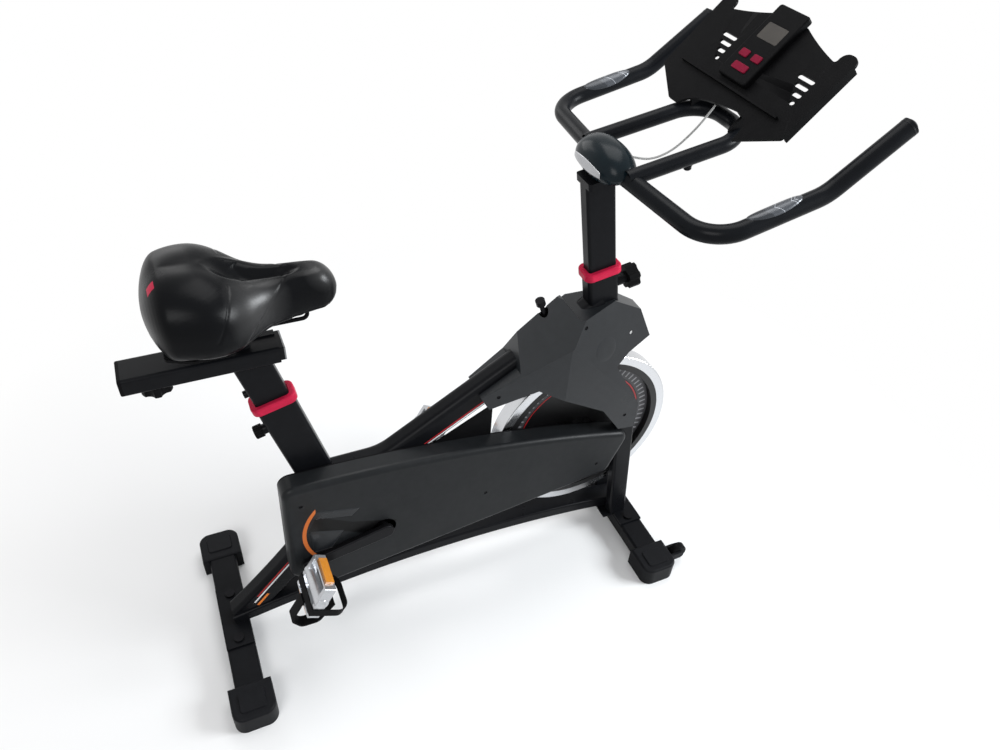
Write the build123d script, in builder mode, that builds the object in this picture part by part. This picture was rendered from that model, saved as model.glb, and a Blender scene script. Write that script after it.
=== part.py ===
"""Indoor cycling bike: a steel frame on two floor bars, a belt-driven flywheel, sliding seat and bar posts.

Millimetres, +Z up, +X towards the handlebar, +Y to the rider's left. The origin is on the floor under the
middle of the bike.
"""
import os
from math import atan2, cos, degrees, hypot, radians, sin, tan

from build123d import *

os.makedirs("parts", exist_ok=True)

# Stations along the bike
rear_bar_x = -560.0
front_bar_x = 426.0
crank_x = -221.0
crank_z = 300.0
flywheel_x = 275.0
flywheel_z = 367.0
seat_collar_x = -395.0
seat_collar_z = 674.0
seat_lean = 14.8
head_collar_x = 260.0
head_collar_z = 814.0
head_lean = 10.5

# Clearances
slide_gap = 0.3
seat_gap = 0.3
run_gap = 0.05
cover_gap = 0.6
press_gap = 0.02
cut_over = 1.0
trim_size = 2000.0

# Floor bars and feet
bar_length = 420.0
bar_width = 60.0
bar_height = 40.0
bar_wall = 2.5
bar_corner = 6.0
bar_bottom = 8.0
foot_length = 80.0
foot_width = 90.0
foot_height = 52.0
foot_grip = 40.0
foot_round = 24.0
foot_edge = 6.0
foot_panel = 3.0
foot_panel_inset = 17.0
foot_panel_corner = 8.0
foot_panel_taper = 30.0
foot_panel_shift = 2.0
rear_bolt_spread = 120.0
front_bolt_spread = 152.0
bolt_dia = 10.0
bolt_head_dia = 22.0
bolt_head_height = 5.0
bolt_nut_dia = 16.0

# Transport wheels
wheel_dia = 46.0
wheel_width = 20.0
wheel_pin_dia = 8.0
wheel_y = 205.0
wheel_z = 34.0
wheel_lug = 6.0
lug_half = 10.0
lug_sink = 4.0
wheel_round = 4.0
wheel_clear = 4.0

# Frame tubes
beam_width = 50.0
beam_height = 30.0
beam_wall = 2.5
beam_corner = 5.0
beam_crown = 97.0
beam_sink = 4.0
rear_plate_length = 160.0
front_plate_length = 186.0
plate_width = 60.0
plate_thickness = 5.0
strut_depth = 60.0
strut_width = 40.0
strut_corner = 10.0
strut_foot_x = -542.0
strut_foot_z = 66.0
strut_top_z = 335.0
strut_bow = 9.0
tube_wall = 2.5
top_depth = 60.0
top_width = 44.0
top_corner = 14.0
top_kink_x = -195.0
top_level_z = 436.0
top_slope = 31.6
top_bend = 110.0
top_head_z = 706.0
seat_tube_depth = 72.0
seat_tube_width = 36.0
seat_tube_corner = 8.0
seat_post_depth = 64.0
seat_post_width = 30.0
head_tube_depth = 67.0
head_tube_width = 37.0
head_tube_bottom = 614.0
head_post_depth = 60.0
head_post_width = 30.0
post_corner = 6.0
post_wall = 2.5
collar_height = 16.0
collar_rim = 6.5
collar_round = 4.0
leg_depth = 46.0
leg_width = 28.0
leg_corner = 6.0
leg_inner_y = 26.0
leg_bottom_x = 408.0
leg_knee_x = 366.0
leg_knee_z = 424.0
leg_top_x = 276.0
leg_bend = 70.0
crown_thickness = 14.0
crown_rear_x = 242.0
crown_leg_x = 300.0
crown_front_x = 318.0
crown_half = 50.0
crown_nose_half = 22.0
dropout_thickness = 7.0
dropout_inner_y = 47.0
dropout_height = 34.0
dropout_reach = 22.0

# Crankset and belt drive
shell_dia = 46.0
shell_length = 44.0
bracket_width = 32.0
bracket_height = 38.0
bearing_dia = 40.0
bearing_width = 11.0
spindle_dia = 20.0
spindle_length = 168.0
crank_length = 170.0
crank_drop = 12.0
arm_thickness = 12.0
arm_inner_y = 72.0
arm_hub_radius = 18.0
arm_end_radius = 14.0
arm_edge = 3.0
pulley_radius = 95.0
pulley_width = 18.0
pulley_inner_y = 27.0
pulley_rim = 10.0
pulley_web = 6.0
pulley_hub_radius = 24.0
small_pulley_radius = 26.0
pulley_bore_gap = 4.0
belt_thickness = 4.0
belt_width = 14.0
belt_gap = 0.3

# Flywheel
flywheel_radius = 221.0
flywheel_thickness = 38.0
rim_depth = 36.0
rim_edge = 3.0
web_thickness = 6.0
hub_radius = 30.0
axle_dia = 12.0
axle_length = 128.0
axle_shoulder_dia = 17.0
hub_bearing_dia = 35.0
hub_bearing_width = 10.0
hub_bearing_set = 3.0
hub_hole_gap = 3.0
nut_flats = 19.0
nut_height = 8.0

# Pedals
pedal_width = 92.0
pedal_length = 88.0
pedal_gap = 5.0
pedal_axle_dia = 12.0
pedal_barrel_dia = 28.0
pedal_plate = 4.0
pedal_plate_height = 24.0
pedal_end_bar = 9.0
pedal_edge = 2.5
pedal_tip_angle = 120.0
reflector_length = 62.0
reflector_height = 18.0
reflector_depth = 6.0
toe_reach = 66.0
toe_height = 62.0
toe_strip = 24.0
toe_thickness = 4.0
toe_tuck = 3.0
toe_slant = 16.5
toe_lift = 11.0
toe_bend = 15.5
strap_width = 18.0
strap_thickness = 2.0
strap_height = 70.0
strap_round = 26.0

# Belt cover, all its outline in side view
cover_inner_y = 26.0
cover_outer_y = 69.0
cover_wall = 3.0
cover_round = 12.0
cover_corner = 24.0
cover_rear_x = -426.0
cover_rear_top_x = -417.0
cover_rear_top_z = 490.0
cover_crest_x = 10.0
cover_crest_z = 456.0
cover_front_x = 377.0
cover_front_top_z = 374.0
cover_nose_x = 333.0
cover_nose_z = 258.0
cover_low_x = -362.0
cover_low_z = 160.0
cover_heel_z = 226.0
back_plate = 2.5
back_plate_gap = 0.5
spindle_hole_radius = 26.0
screw_dia = 8.0
screw_depth = 1.5
cover_screw_places = [(13, 315), (-385, 440), (296, 300)]
panel_front_x = 36.0
panel_rear_x = -150.0
panel_rise = 12.0

# Flywheel guard
guard_half = 66.0
guard_wall = 3.0
guard_wheel_gap = 6.0
guard_tail_half = 36.0
guard_taper_x = 185.0
guard_roof_half = 44.0
guard_crease_rear = (189, 677)
guard_crease_front = (380, 470)
guard_nose_edge = (402, 625)
guard_nose_half = 26.0
guard_points = {
    "tail_top": (4, 574),
    "block_foot": (84, 624),
    "block_rear": (94, 758),
    "block_peak": (138, 778),
    "block_front": (182, 762),
    "head_rear": (208, 727),
    "head_top": (293, 744),
    "nose_top": (368, 700),
    "nose_tip": (400, 628),
    "nose_under": (340, 610),
    "notch": (308, 588),
    "leg_front": (380, 467),
    "leg_foot": (383, 392),
    "leg_rear": (340, 398),
    "window_low": (289, 471),
    "window_mid": (164, 549),
    "window_top": (125, 574),
    "tail_low": (22, 540),
}
guard_screw_places = [(218, 712), (344, 655), (349, 440), (40, 572)]

# Brake
screw_top_x = 137.7
screw_top_z = 754.8
brake_rod_dia = 10.0
brake_rod_gap = 0.3
brake_head_dia = 20.0
brake_head_height = 12.0
shoe_length = 70.0
shoe_width = 30.0
shoe_height = 16.0
shoe_rest_gap = 5.0
shoe_guide = 3.0
guide_start = 92.0
guide_lift = 2.0
rod_room_rise = 106.0

# Seat rail and saddle
rail_rear_x = -621.0
rail_front_x = -372.0
rail_width = 60.0
rail_height = 33.0
rail_wall = 3.0
rail_bottom = 774.0
rail_cap = 6.0
rail_plug = 3.0
rail_corner = 6.0
slot_width = 26.0
slider_rear_x = -597.0
slider_front_x = -362.0
slider_wall = 4.0
slider_back = 18.0
slider_fore = 60.0
slot_play = 1.0
seat_insert = 230.0
stub_x = -428.0
stub_dia = 25.0
stub_top = 842.0
knob_stud_dia = 10.0
rail_knob_x = -574.0
rail_knob_dia = 52.0
rail_knob_height = 20.0
clamp_length = 46.0
clamp_height = 20.0
saddle_rail_dia = 7.0
saddle_rail_half = 22.0
saddle_rail_z = 854.0
saddle_rail_rear_x = -540.0
saddle_rail_front_x = -318.0
saddle_rail_bend = 9.0
pan_thickness = 5.0
pan_bottom = 865.0
pan_inset = 14.0
saddle_foot_share = 0.8
saddle_crest_share = 0.55
saddle_waist_share = 0.42
saddle_sections = [
    (-567, 48, 952, 893, 5),
    (-545, 92, 979, 876, 7),
    (-505, 110, 988, 871, 6),
    (-455, 101, 976, 870.6, -4),
    (-405, 68, 958, 870.6, -10),
    (-350, 43, 953, 871, -5),
    (-300, 34, 952, 877, 3),
    (-268, 27, 940, 886, 3),
    (-259, 14, 922, 900, 2),
]

# Seat pin and head knob
pin_drop = 62.0
pin_boss_dia = 20.0
pin_boss_height = 8.0
pin_dia = 8.0
pin_knob_dia = 26.0
pin_knob_height = 16.0
head_knob_drop = 46.0
head_boss_dia = 24.0
head_boss_height = 22.0
head_knob_dia = 50.0
head_knob_height = 25.0
knob_scallop = 1.5
knob_round = 2.0
pin_lobes = 12
star_lobes = 6
stop_rise = 34.0
stop_dia = 14.0
stop_height = 8.0

# Handlebar
bar_dia = 32.0
bar_tube_wall = 2.0
bar_centre_x = 233.0
bar_centre_z = 1045.0
bar_corner_x = 271.0
bar_corner_z = 1031.0
bar_half = 273.0
bar_kink_x = 481.0
bar_kink_z = 1082.0
bar_tip_x = 609.0
bar_tip_z = 1180.0
bar_bend = 70.0
bar_kink_bend = 90.0
loop_dia = 29.0
loop_half = 75.0
loop_front_x = 478.0
loop_front_z = 1095.0
loop_rear_z = 1048.0
loop_bend = 62.0
sensor_length = 96.0
sensor_arc = 140.0
sensor_thickness = 2.0
sensor_along = 122.0
flange_length = 76.0
flange_width = 54.0
flange_height = 14.0
head_insert = 142.0
cradle_length = 30.0
cradle_width = 50.0
bar_centre_bend = 300.0
bar_cap = 3.0
bar_cover_length = 84.0
bar_cover_width = 116.0
bar_cover_height = 52.0
bar_cover_round = 18.0
bar_cover_edge = 14.0
bar_cover_wall = 3.0

# Tray and console
tray_x = 461.0
tray_z = 1151.0
tray_lean = 45.0
tray_thickness = 5.0
tray_half = 176.0
tray_low = 20.0
tray_tail = 67.0
tray_tail_half = 96.0
tray_top = 146.0
tray_wing = 37.0
tray_notch_half = 141.0
tray_notch = 123.0
tray_dip_half = 94.0
tray_dip = 134.3
tray_crown_half = 42.0
tray_crown = 152.0
tray_corner = 5.0
tray_tip = 15.0
lip_height = 12.0
ledge_half = 140.0
ledge_up = 5.0
ledge_height = 7.0
ledge_thickness = 4.0
slot_half = 4.0
slot_pitch = 14.3
slot_low = 37.0
slot_short = 12.0
slot_growth = 9.7
slot_count = 4
slot_ends = (141, -70)
console_width = 78.0
console_length = 150.0
console_height = 12.0
console_start = 15.0
console_round = 6.0
console_wall = 3.0
lens_width = 52.0
lens_length = 32.0
lens_depth = 2.0
lens_centre = 113.0
button_proud = 2.0
button_depth = 5.0
button_gap = 0.4
key_width = 22.0
key_length = 14.0
key_wide = 38.0
key_spread = 16.7
key_row = 63.5
key_low_row = 39.0
key_corner = 3.0
rib_half = 60.0
rib_thickness = 6.0
rib_rear = 36.0
rib_front = 34.0
rib_foot = 34.0

# Sensor wire from the bar cover to the tray, in the middle plane
wire_dia = 4.0
wire_route = [(282, 1048), (308, 1038), (340, 1035), (376, 1047), (406, 1072), (430, 1098), (446.9, 1122.7)]
wire_boss_dia = 12.0
wire_boss_height = 14.0
wire_run_share = 0.45


def lean_plane(x, z, lean, along=0.0):
    """Plane across a post that leans back by `lean` degrees, `along` millimetres up it from (x, 0, z)."""
    up = (-sin(radians(lean)), 0, cos(radians(lean)))
    origin = (x + along * up[0], 0, z + along * up[2])
    return Plane(origin=origin, x_dir=(cos(radians(lean)), 0, sin(radians(lean))), z_dir=up)


def span_plane(x0, z0, x1, z1, y=0.0):
    """Plane at (x0, y, z0) that looks along the line to (x1, y, z1)."""
    length = hypot(x1 - x0, z1 - z0)
    along = ((x1 - x0) / length, 0, (z1 - z0) / length)
    return Plane(origin=(x0, y, z0), x_dir=(along[2], 0, -along[0]), z_dir=along)


def side_plane(y):
    """Plane in side view at the given y: its x is +X, its y is +Z and it faces the rider's right."""
    return Plane(origin=(0, y, 0), x_dir=(1, 0, 0), z_dir=(0, -1, 0))


def box_tube(plane, length, depth, width, corner, wall=0.0):
    """Straight rounded tube along a plane's normal; a wall of 0 gives its solid envelope."""
    with BuildPart() as tube:
        with BuildSketch(plane):
            RectangleRounded(depth, width, corner)
            if wall:
                RectangleRounded(depth - 2 * wall, width - 2 * wall, corner - wall / 2, mode=Mode.SUBTRACT)
        extrude(amount=length)
    return tube.part


def swept_tube(path, plane, depth, width, corner, wall=0.0):
    """Rounded tube carried along a path that starts on the plane."""
    with BuildPart() as tube:
        with BuildSketch(plane):
            RectangleRounded(depth, width, corner)
            if wall:
                RectangleRounded(depth - 2 * wall, width - 2 * wall, corner - wall / 2, mode=Mode.SUBTRACT)
        sweep(path=path, transition=Transition.ROUND)
    return tube.part


def end_face(shape_faces, direction):
    """The face that lies farthest along a direction."""
    return shape_faces.sort_by(Axis((0, 0, 0), direction))[-1]


def write(builder, name):
    """Label a finished piece and write it as its own file."""
    builder.part.label = name
    export_step(builder.part, f"parts/{name}.step")


# Floor bars
bar_mid_z = bar_bottom + bar_height / 2
bar_top = bar_bottom + bar_height
bolt_grip = bar_height + plate_thickness
floor_bars = (
    ("rear", rear_bar_x, rear_bolt_spread, rear_plate_length),
    ("front", front_bar_x, front_bolt_spread, front_plate_length),
)
for name, bar_x, bolt_spread, plate_length in floor_bars:
    with BuildPart() as stabilizer:
        with BuildSketch(Plane(origin=(bar_x, -bar_length / 2, bar_mid_z), x_dir=(1, 0, 0), z_dir=(0, 1, 0))):
            RectangleRounded(bar_width, bar_height, bar_corner)
            RectangleRounded(
                bar_width - 2 * bar_wall, bar_height - 2 * bar_wall, bar_corner - bar_wall, mode=Mode.SUBTRACT
            )
        extrude(amount=bar_length)
        with Locations((bar_x, -bolt_spread / 2, bar_mid_z), (bar_x, bolt_spread / 2, bar_mid_z)):
            Cylinder(bolt_dia / 2 + seat_gap, bar_height * 2, mode=Mode.SUBTRACT)
    write(stabilizer, f"{name}_stabilizer")

# Carriage bolts through the plates and bars, written later with the cover screws
with BuildPart() as stabilizer_bolts:
    for name, bar_x, bolt_spread, plate_length in floor_bars:
        with Locations((bar_x, -bolt_spread / 2, bar_bottom), (bar_x, bolt_spread / 2, bar_bottom)):
            Cylinder(bolt_dia / 2, bolt_grip, align=(Align.CENTER, Align.CENTER, Align.MIN))
        head_z = bar_bottom + bolt_grip
        with Locations((bar_x, -bolt_spread / 2, head_z), (bar_x, bolt_spread / 2, head_z)):
            Cylinder(bolt_head_dia / 2, bolt_head_height, align=(Align.CENTER, Align.CENTER, Align.MIN))
        with Locations((bar_x, -bolt_spread / 2, bar_bottom), (bar_x, bolt_spread / 2, bar_bottom)):
            Cylinder(bolt_nut_dia / 2, bolt_head_height, align=(Align.CENTER, Align.CENTER, Align.MAX))

# Feet over the bar ends
foot_centre_y = bar_length / 2 - foot_grip + foot_length / 2
wheel_x = front_bar_x + foot_width / 2 + wheel_clear + wheel_dia / 2
for name, bar_x, bolt_spread, plate_length in floor_bars:
    with BuildPart() as feet:
        for side in (-1, 1):
            with BuildPart(mode=Mode.PRIVATE) as foot:
                with BuildSketch(Plane.XY):
                    with Locations((bar_x, side * foot_centre_y)):
                        Rectangle(foot_width, foot_length)
                    outer = [v for v in vertices() if side * v.Y > foot_centre_y]
                    fillet(outer, radius=foot_round)
                extrude(amount=foot_height)
                fillet(faces().sort_by(Axis.Z)[-1].edges(), radius=foot_edge)
                with BuildSketch(Plane.XY.offset(foot_height)):
                    with Locations((bar_x, side * (foot_centre_y + foot_panel_shift))):
                        RectangleRounded(
                            foot_width - 2 * foot_panel_inset,
                            foot_length - 2 * foot_panel_inset,
                            foot_panel_corner,
                        )
                extrude(amount=foot_panel, taper=foot_panel_taper)
                with Locations((bar_x, 0, bar_mid_z)):
                    Box(
                        bar_width + 2 * seat_gap, bar_length + 2 * seat_gap, bar_height + 2 * seat_gap,
                        mode=Mode.SUBTRACT,
                    )
                if bar_x == front_bar_x:
                    for lug in (-1, 1):
                        lug_y = side * wheel_y + lug * (wheel_width / 2 + seat_gap + wheel_lug / 2)
                        with BuildSketch(side_plane(lug_y + wheel_lug / 2)):
                            with BuildLine():
                                Polyline(
                                    (bar_x + foot_width / 2 - lug_sink, wheel_z - lug_half),
                                    (wheel_x, wheel_z - lug_half),
                                    (wheel_x, wheel_z + lug_half),
                                    (bar_x + foot_width / 2 - lug_sink, wheel_z + lug_half),
                                    close=True,
                                )
                            make_face()
                            with Locations((wheel_x, wheel_z)):
                                Circle(lug_half)
                        extrude(amount=wheel_lug)
                    with BuildSketch(side_plane(side * wheel_y + wheel_width / 2 + wheel_lug)):
                        with Locations((wheel_x, wheel_z)):
                            Circle(wheel_pin_dia / 2)
                    extrude(amount=wheel_width + 2 * wheel_lug)
            add(foot.part)
    write(feet, f"{name}_feet")

for name, side in (("transport_wheel_right", -1), ("transport_wheel_left", 1)):
    with BuildPart() as wheel:
        with BuildSketch(side_plane(side * wheel_y + wheel_width / 2)):
            with Locations((wheel_x, wheel_z)):
                Circle(wheel_dia / 2)
                Circle(wheel_pin_dia / 2 + run_gap, mode=Mode.SUBTRACT)
        extrude(amount=wheel_width)
        rim_edges = edges().filter_by(GeomType.CIRCLE).filter_by(lambda e: e.radius > wheel_pin_dia)
        fillet(rim_edges, radius=wheel_round)
    write(wheel, name)

# Arched lower beam on its two plates
plate_top = bar_top + plate_thickness
beam_end_z = plate_top + beam_height / 2 - beam_sink
beam_mid_z = beam_crown + beam_height / 2
beam_mid_x = (rear_bar_x + front_bar_x) / 2


def beam_tube(wall=0.0):
    """The arched beam; a wall of 0 gives its envelope."""
    with BuildLine() as arch:
        ThreePointArc((rear_bar_x, 0, beam_end_z), (beam_mid_x, 0, beam_mid_z), (front_bar_x, 0, beam_end_z))
    start = arch.line % 0
    plane = Plane(origin=arch.line @ 0, x_dir=(-start.Z, 0, start.X), z_dir=(start.X, 0, start.Z))
    return swept_tube(arch.line, plane, beam_height, beam_width, beam_corner, wall)


beam_envelope = beam_tube()
with BuildPart() as lower_beam:
    add(beam_tube(beam_wall))
    for name, bar_x, bolt_spread, plate_length in floor_bars:
        with Locations((bar_x, 0, bar_top)):
            Box(plate_width, plate_length, plate_thickness, align=(Align.CENTER, Align.CENTER, Align.MIN))
    with Locations((front_bar_x - plate_width / 2, 0, bar_top)):
        Box(
            plate_width, 2 * (leg_inner_y + leg_width), plate_thickness,
            align=(Align.CENTER, Align.CENTER, Align.MIN),
        )
    for name, bar_x, bolt_spread, plate_length in floor_bars:
        with Locations((bar_x, -bolt_spread / 2, bar_top), (bar_x, bolt_spread / 2, bar_top)):
            Cylinder(bolt_dia / 2 + seat_gap, 4 * plate_thickness, mode=Mode.SUBTRACT)
    with Locations((0, 0, bar_top)):
        Box(trim_size, trim_size, bar_top, align=(Align.CENTER, Align.CENTER, Align.MAX), mode=Mode.SUBTRACT)
write(lower_beam, "lower_beam")

# Seat tube with the crank shell on its bracket
seat_foot_along = -(seat_collar_z - beam_crown - beam_height / 2) / cos(radians(seat_lean))
seat_foot = lean_plane(seat_collar_x, seat_collar_z, seat_lean, seat_foot_along)


def seat_envelope(grow=0.0):
    """The seat tube's outer form, grown by a clearance."""
    return box_tube(
        seat_foot, -seat_foot_along, seat_tube_depth + 2 * grow, seat_tube_width + 2 * grow, seat_tube_corner
    )


pin_plane_up = lean_plane(seat_collar_x, seat_collar_z, seat_lean, -pin_drop)
pin_plane = Plane(origin=pin_plane_up.origin, x_dir=(0, 1, 0), z_dir=-pin_plane_up.x_dir)
with BuildPart() as seat_tube:
    add(seat_envelope())
    with BuildSketch(pin_plane.offset(seat_tube_depth / 2 - cut_over)):
        Circle(pin_boss_dia / 2)
    extrude(amount=pin_boss_height + cut_over)
    bracket_length = abs(seat_collar_x - crank_x)
    with Locations((crank_x, 0, crank_z)):
        Box(bracket_length, bracket_width, bracket_height, align=(Align.MAX, Align.CENTER, Align.CENTER))
    rear_trim = lean_plane(seat_collar_x, seat_collar_z, seat_lean)
    split(bisect_by=Plane(rear_trim.origin - rear_trim.x_dir * (seat_tube_depth / 2 + pin_boss_height),
                          z_dir=rear_trim.x_dir), keep=Keep.TOP)
    with BuildSketch(side_plane(shell_length / 2)):
        with Locations((crank_x, crank_z)):
            Circle(shell_dia / 2)
    extrude(amount=shell_length)
    with BuildSketch(seat_foot):
        RectangleRounded(
            seat_post_depth + 2 * slide_gap, seat_post_width + 2 * slide_gap, post_corner
        )
    extrude(amount=-seat_foot_along + cut_over, mode=Mode.SUBTRACT)
    with BuildSketch(pin_plane):
        Circle(pin_dia / 2 + run_gap)
    extrude(amount=seat_tube_depth, mode=Mode.SUBTRACT)
    with BuildSketch(side_plane(shell_length)):
        with Locations((crank_x, crank_z)):
            Circle(bearing_dia / 2 + press_gap)
    extrude(amount=2 * shell_length, mode=Mode.SUBTRACT)
    add(beam_envelope, mode=Mode.SUBTRACT)
write(seat_tube, "seat_tube")

# Rear strut, slightly bowed, from the rear plate to the seat tube
strut_top_x = seat_collar_x + (seat_collar_z - strut_top_z) * tan(radians(seat_lean))
strut_mid = ((strut_foot_x + strut_top_x) / 2, (strut_foot_z + strut_top_z) / 2)
strut_rise = degrees(atan2(strut_top_z - strut_foot_z, strut_top_x - strut_foot_x))
strut_side = (sin(radians(strut_rise)), -cos(radians(strut_rise)))
with BuildLine() as strut_line:
    ThreePointArc(
        (strut_foot_x, 0, strut_foot_z),
        (strut_mid[0] + strut_bow * strut_side[0], 0, strut_mid[1] + strut_bow * strut_side[1]),
        (strut_top_x, 0, strut_top_z),
    )
strut_start = strut_line.line % 0
strut_plane = Plane(
    origin=strut_line.line @ 0,
    x_dir=(-strut_start.Z, 0, strut_start.X),
    z_dir=(strut_start.X, 0, strut_start.Z),
)
with BuildPart() as rear_strut:
    add(swept_tube(strut_line.line, strut_plane, strut_depth, strut_width, strut_corner, tube_wall))
    add(beam_envelope, mode=Mode.SUBTRACT)
    add(seat_envelope(), mode=Mode.SUBTRACT)
    with Locations((rear_bar_x, 0, plate_top)):
        Box(
            4 * plate_width,
            rear_plate_length,
            plate_top,
            align=(Align.CENTER, Align.CENTER, Align.MAX),
            mode=Mode.SUBTRACT,
        )
    rear_strut_body = rear_strut.part.solids().sort_by(SortBy.VOLUME)[-1]
with BuildPart() as rear_strut:
    add(rear_strut_body)
write(rear_strut, "rear_strut")

# Head tube on the fork crown
head_foot_along = -(head_collar_z - head_tube_bottom) / cos(radians(head_lean))
head_foot = lean_plane(head_collar_x, head_collar_z, head_lean, head_foot_along - head_tube_depth)
head_length = head_tube_depth - head_foot_along
crown_top = head_tube_bottom
crown_bottom = head_tube_bottom - crown_thickness


def head_envelope(grow=0.0):
    """The head tube's outer form, grown by a clearance."""
    return box_tube(
        head_foot, head_length, head_tube_depth + 2 * grow, head_tube_width + 2 * grow, seat_tube_corner
    )


def crown_envelope(grow=0.0):
    """The fork crown's outer form, grown by a clearance."""
    with BuildPart() as crown:
        for front, half in ((crown_leg_x, crown_half), (crown_front_x, crown_nose_half)):
            with Locations(((crown_rear_x + front) / 2, 0, (crown_top + crown_bottom) / 2)):
                Box(front - crown_rear_x + 2 * grow, 2 * (half + grow), crown_thickness + 2 * grow)
    return crown.part


head_knob_up = lean_plane(head_collar_x, head_collar_z, head_lean, -head_knob_drop)
head_knob_plane = Plane(origin=head_knob_up.origin, x_dir=(0, 1, 0), z_dir=head_knob_up.x_dir)
with BuildPart() as head_tube:
    add(head_envelope())
    split(bisect_by=Plane.XY.offset(crown_top), keep=Keep.TOP)
    with BuildSketch(head_knob_plane.offset(head_tube_depth / 2 - cut_over)):
        Circle(head_boss_dia / 2)
    extrude(amount=head_boss_height + cut_over)
    with BuildSketch(head_foot):
        RectangleRounded(head_post_depth + 2 * slide_gap, head_post_width + 2 * slide_gap, post_corner)
    extrude(amount=head_length + cut_over, mode=Mode.SUBTRACT)
    with BuildSketch(head_knob_plane):
        Circle(pin_dia / 2 + run_gap)
    extrude(amount=head_tube_depth + head_boss_height, mode=Mode.SUBTRACT)
    add(crown_envelope())
write(head_tube, "head_tube")

# Fork legs with their axle plates
leg_slope = (leg_bottom_x - leg_knee_x) / (leg_knee_z - plate_top)
leg_top_slope = (leg_knee_x - leg_top_x) / (crown_bottom - leg_knee_z)


def leg_envelope(side, grow=0.0, wall=0.0):
    """One fork leg's bent form between the front plate and the crown, before its ends are cut level."""
    y = side * (leg_inner_y + leg_width / 2)
    foot = (leg_bottom_x + leg_depth * leg_slope, y, plate_top - leg_depth)
    head = (leg_top_x - leg_depth * leg_top_slope, y, crown_bottom + leg_depth)
    with BuildLine() as run:
        FilletPolyline(foot, (leg_knee_x, y, leg_knee_z), head, radius=leg_bend)
    start = span_plane(foot[0], foot[2], leg_knee_x, leg_knee_z, y)
    return swept_tube(run.line, start, leg_depth + 2 * grow, leg_width + 2 * grow, leg_corner, wall)


leg_axle_x = leg_bottom_x - (flywheel_z - plate_top) * leg_slope
for name, side in (("fork_leg_right", -1), ("fork_leg_left", 1)):
    plate_y = max(side * dropout_inner_y, side * (dropout_inner_y + dropout_thickness))
    with BuildPart() as leg:
        with BuildSketch(side_plane(plate_y)):
            with Locations((leg_axle_x, flywheel_z)):
                Rectangle(
                    leg_axle_x - flywheel_x, dropout_height, align=(Align.MAX, Align.CENTER)
                )
            with Locations((flywheel_x, flywheel_z)):
                Circle(dropout_reach)
        extrude(amount=dropout_thickness)
        add(leg_envelope(side), mode=Mode.SUBTRACT)
        with BuildSketch(side_plane(plate_y)):
            with Locations((flywheel_x, flywheel_z)):
                Circle(axle_dia / 2 + press_gap)
        extrude(amount=dropout_thickness, mode=Mode.SUBTRACT)
        add(leg_envelope(side, wall=tube_wall))
        split(bisect_by=Plane.XY.offset(plate_top), keep=Keep.TOP)
        split(bisect_by=Plane.XY.offset(crown_bottom), keep=Keep.BOTTOM)
    write(leg, name)

# Brake rod line, from the top of the guard straight at the flywheel's axle
rod_reach = hypot(flywheel_x - screw_top_x, flywheel_z - screw_top_z)
rod_down = Plane(
    origin=(screw_top_x, 0, screw_top_z),
    x_dir=(0, 1, 0),
    z_dir=((flywheel_x - screw_top_x) / rod_reach, 0, (flywheel_z - screw_top_z) / rod_reach),
)
shoe_face = rod_reach - flywheel_radius - shoe_rest_gap
shoe_back = shoe_face - shoe_height

# Top tube, level at the seat tube and then sloping up to the head tube, with the brake guide under it
top_end_x = head_collar_x + (head_collar_z - top_head_z) * tan(radians(head_lean))
top_end_z = top_level_z + (top_end_x - top_kink_x) * tan(radians(top_slope))
top_start_x = seat_collar_x + (seat_collar_z - top_level_z) * tan(radians(seat_lean))


def top_form(grow=0.0, wall=0.0):
    """The bent top tube's outer form or, with a wall, the tube itself."""
    with BuildLine() as run:
        FilletPolyline(
            (top_start_x, 0, top_level_z),
            (top_kink_x, 0, top_level_z),
            (top_end_x, 0, top_end_z),
            radius=top_bend,
        )
    start = Plane(origin=(top_start_x, 0, top_level_z), x_dir=(0, 0, 1), z_dir=(1, 0, 0))
    return swept_tube(run.line, start, top_depth + 2 * grow, top_width + 2 * grow, top_corner, wall)


with BuildPart() as top_tube:
    add(top_form(wall=tube_wall))
    add(seat_envelope(), mode=Mode.SUBTRACT)
    add(head_envelope(), mode=Mode.SUBTRACT)
    guide_reach = shoe_face - guide_start - guide_lift
    with BuildSketch(rod_down.offset(guide_start)):
        Rectangle(shoe_width + 2 * slide_gap + 2 * shoe_guide, shoe_length / 2)
        Rectangle(shoe_width + 2 * slide_gap, shoe_length, mode=Mode.SUBTRACT)
    extrude(amount=guide_reach)
    with BuildSketch(rod_down):
        Circle(brake_rod_dia / 2 + brake_rod_gap)
    extrude(amount=shoe_back, mode=Mode.SUBTRACT)
write(top_tube, "top_tube")

# Bearings: two in the crank shell, two in the flywheel's hub
with BuildPart() as crank_bearings:
    for side in (-1, 1):
        with BuildSketch(side_plane(side * (shell_length - bearing_width) / 2 + bearing_width / 2)):
            with Locations((crank_x, crank_z)):
                Circle(bearing_dia / 2)
                Circle(spindle_dia / 2 + run_gap, mode=Mode.SUBTRACT)
        extrude(amount=bearing_width)
write(crank_bearings, "crank_bearings")

# Crank spindle, belt pulley and arms; the right arm points back and a little down
with BuildPart() as crank_spindle:
    with BuildSketch(side_plane(spindle_length / 2)):
        with Locations((crank_x, crank_z)):
            Circle(spindle_dia / 2)
    extrude(amount=spindle_length)
write(crank_spindle, "crank_spindle")


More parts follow.
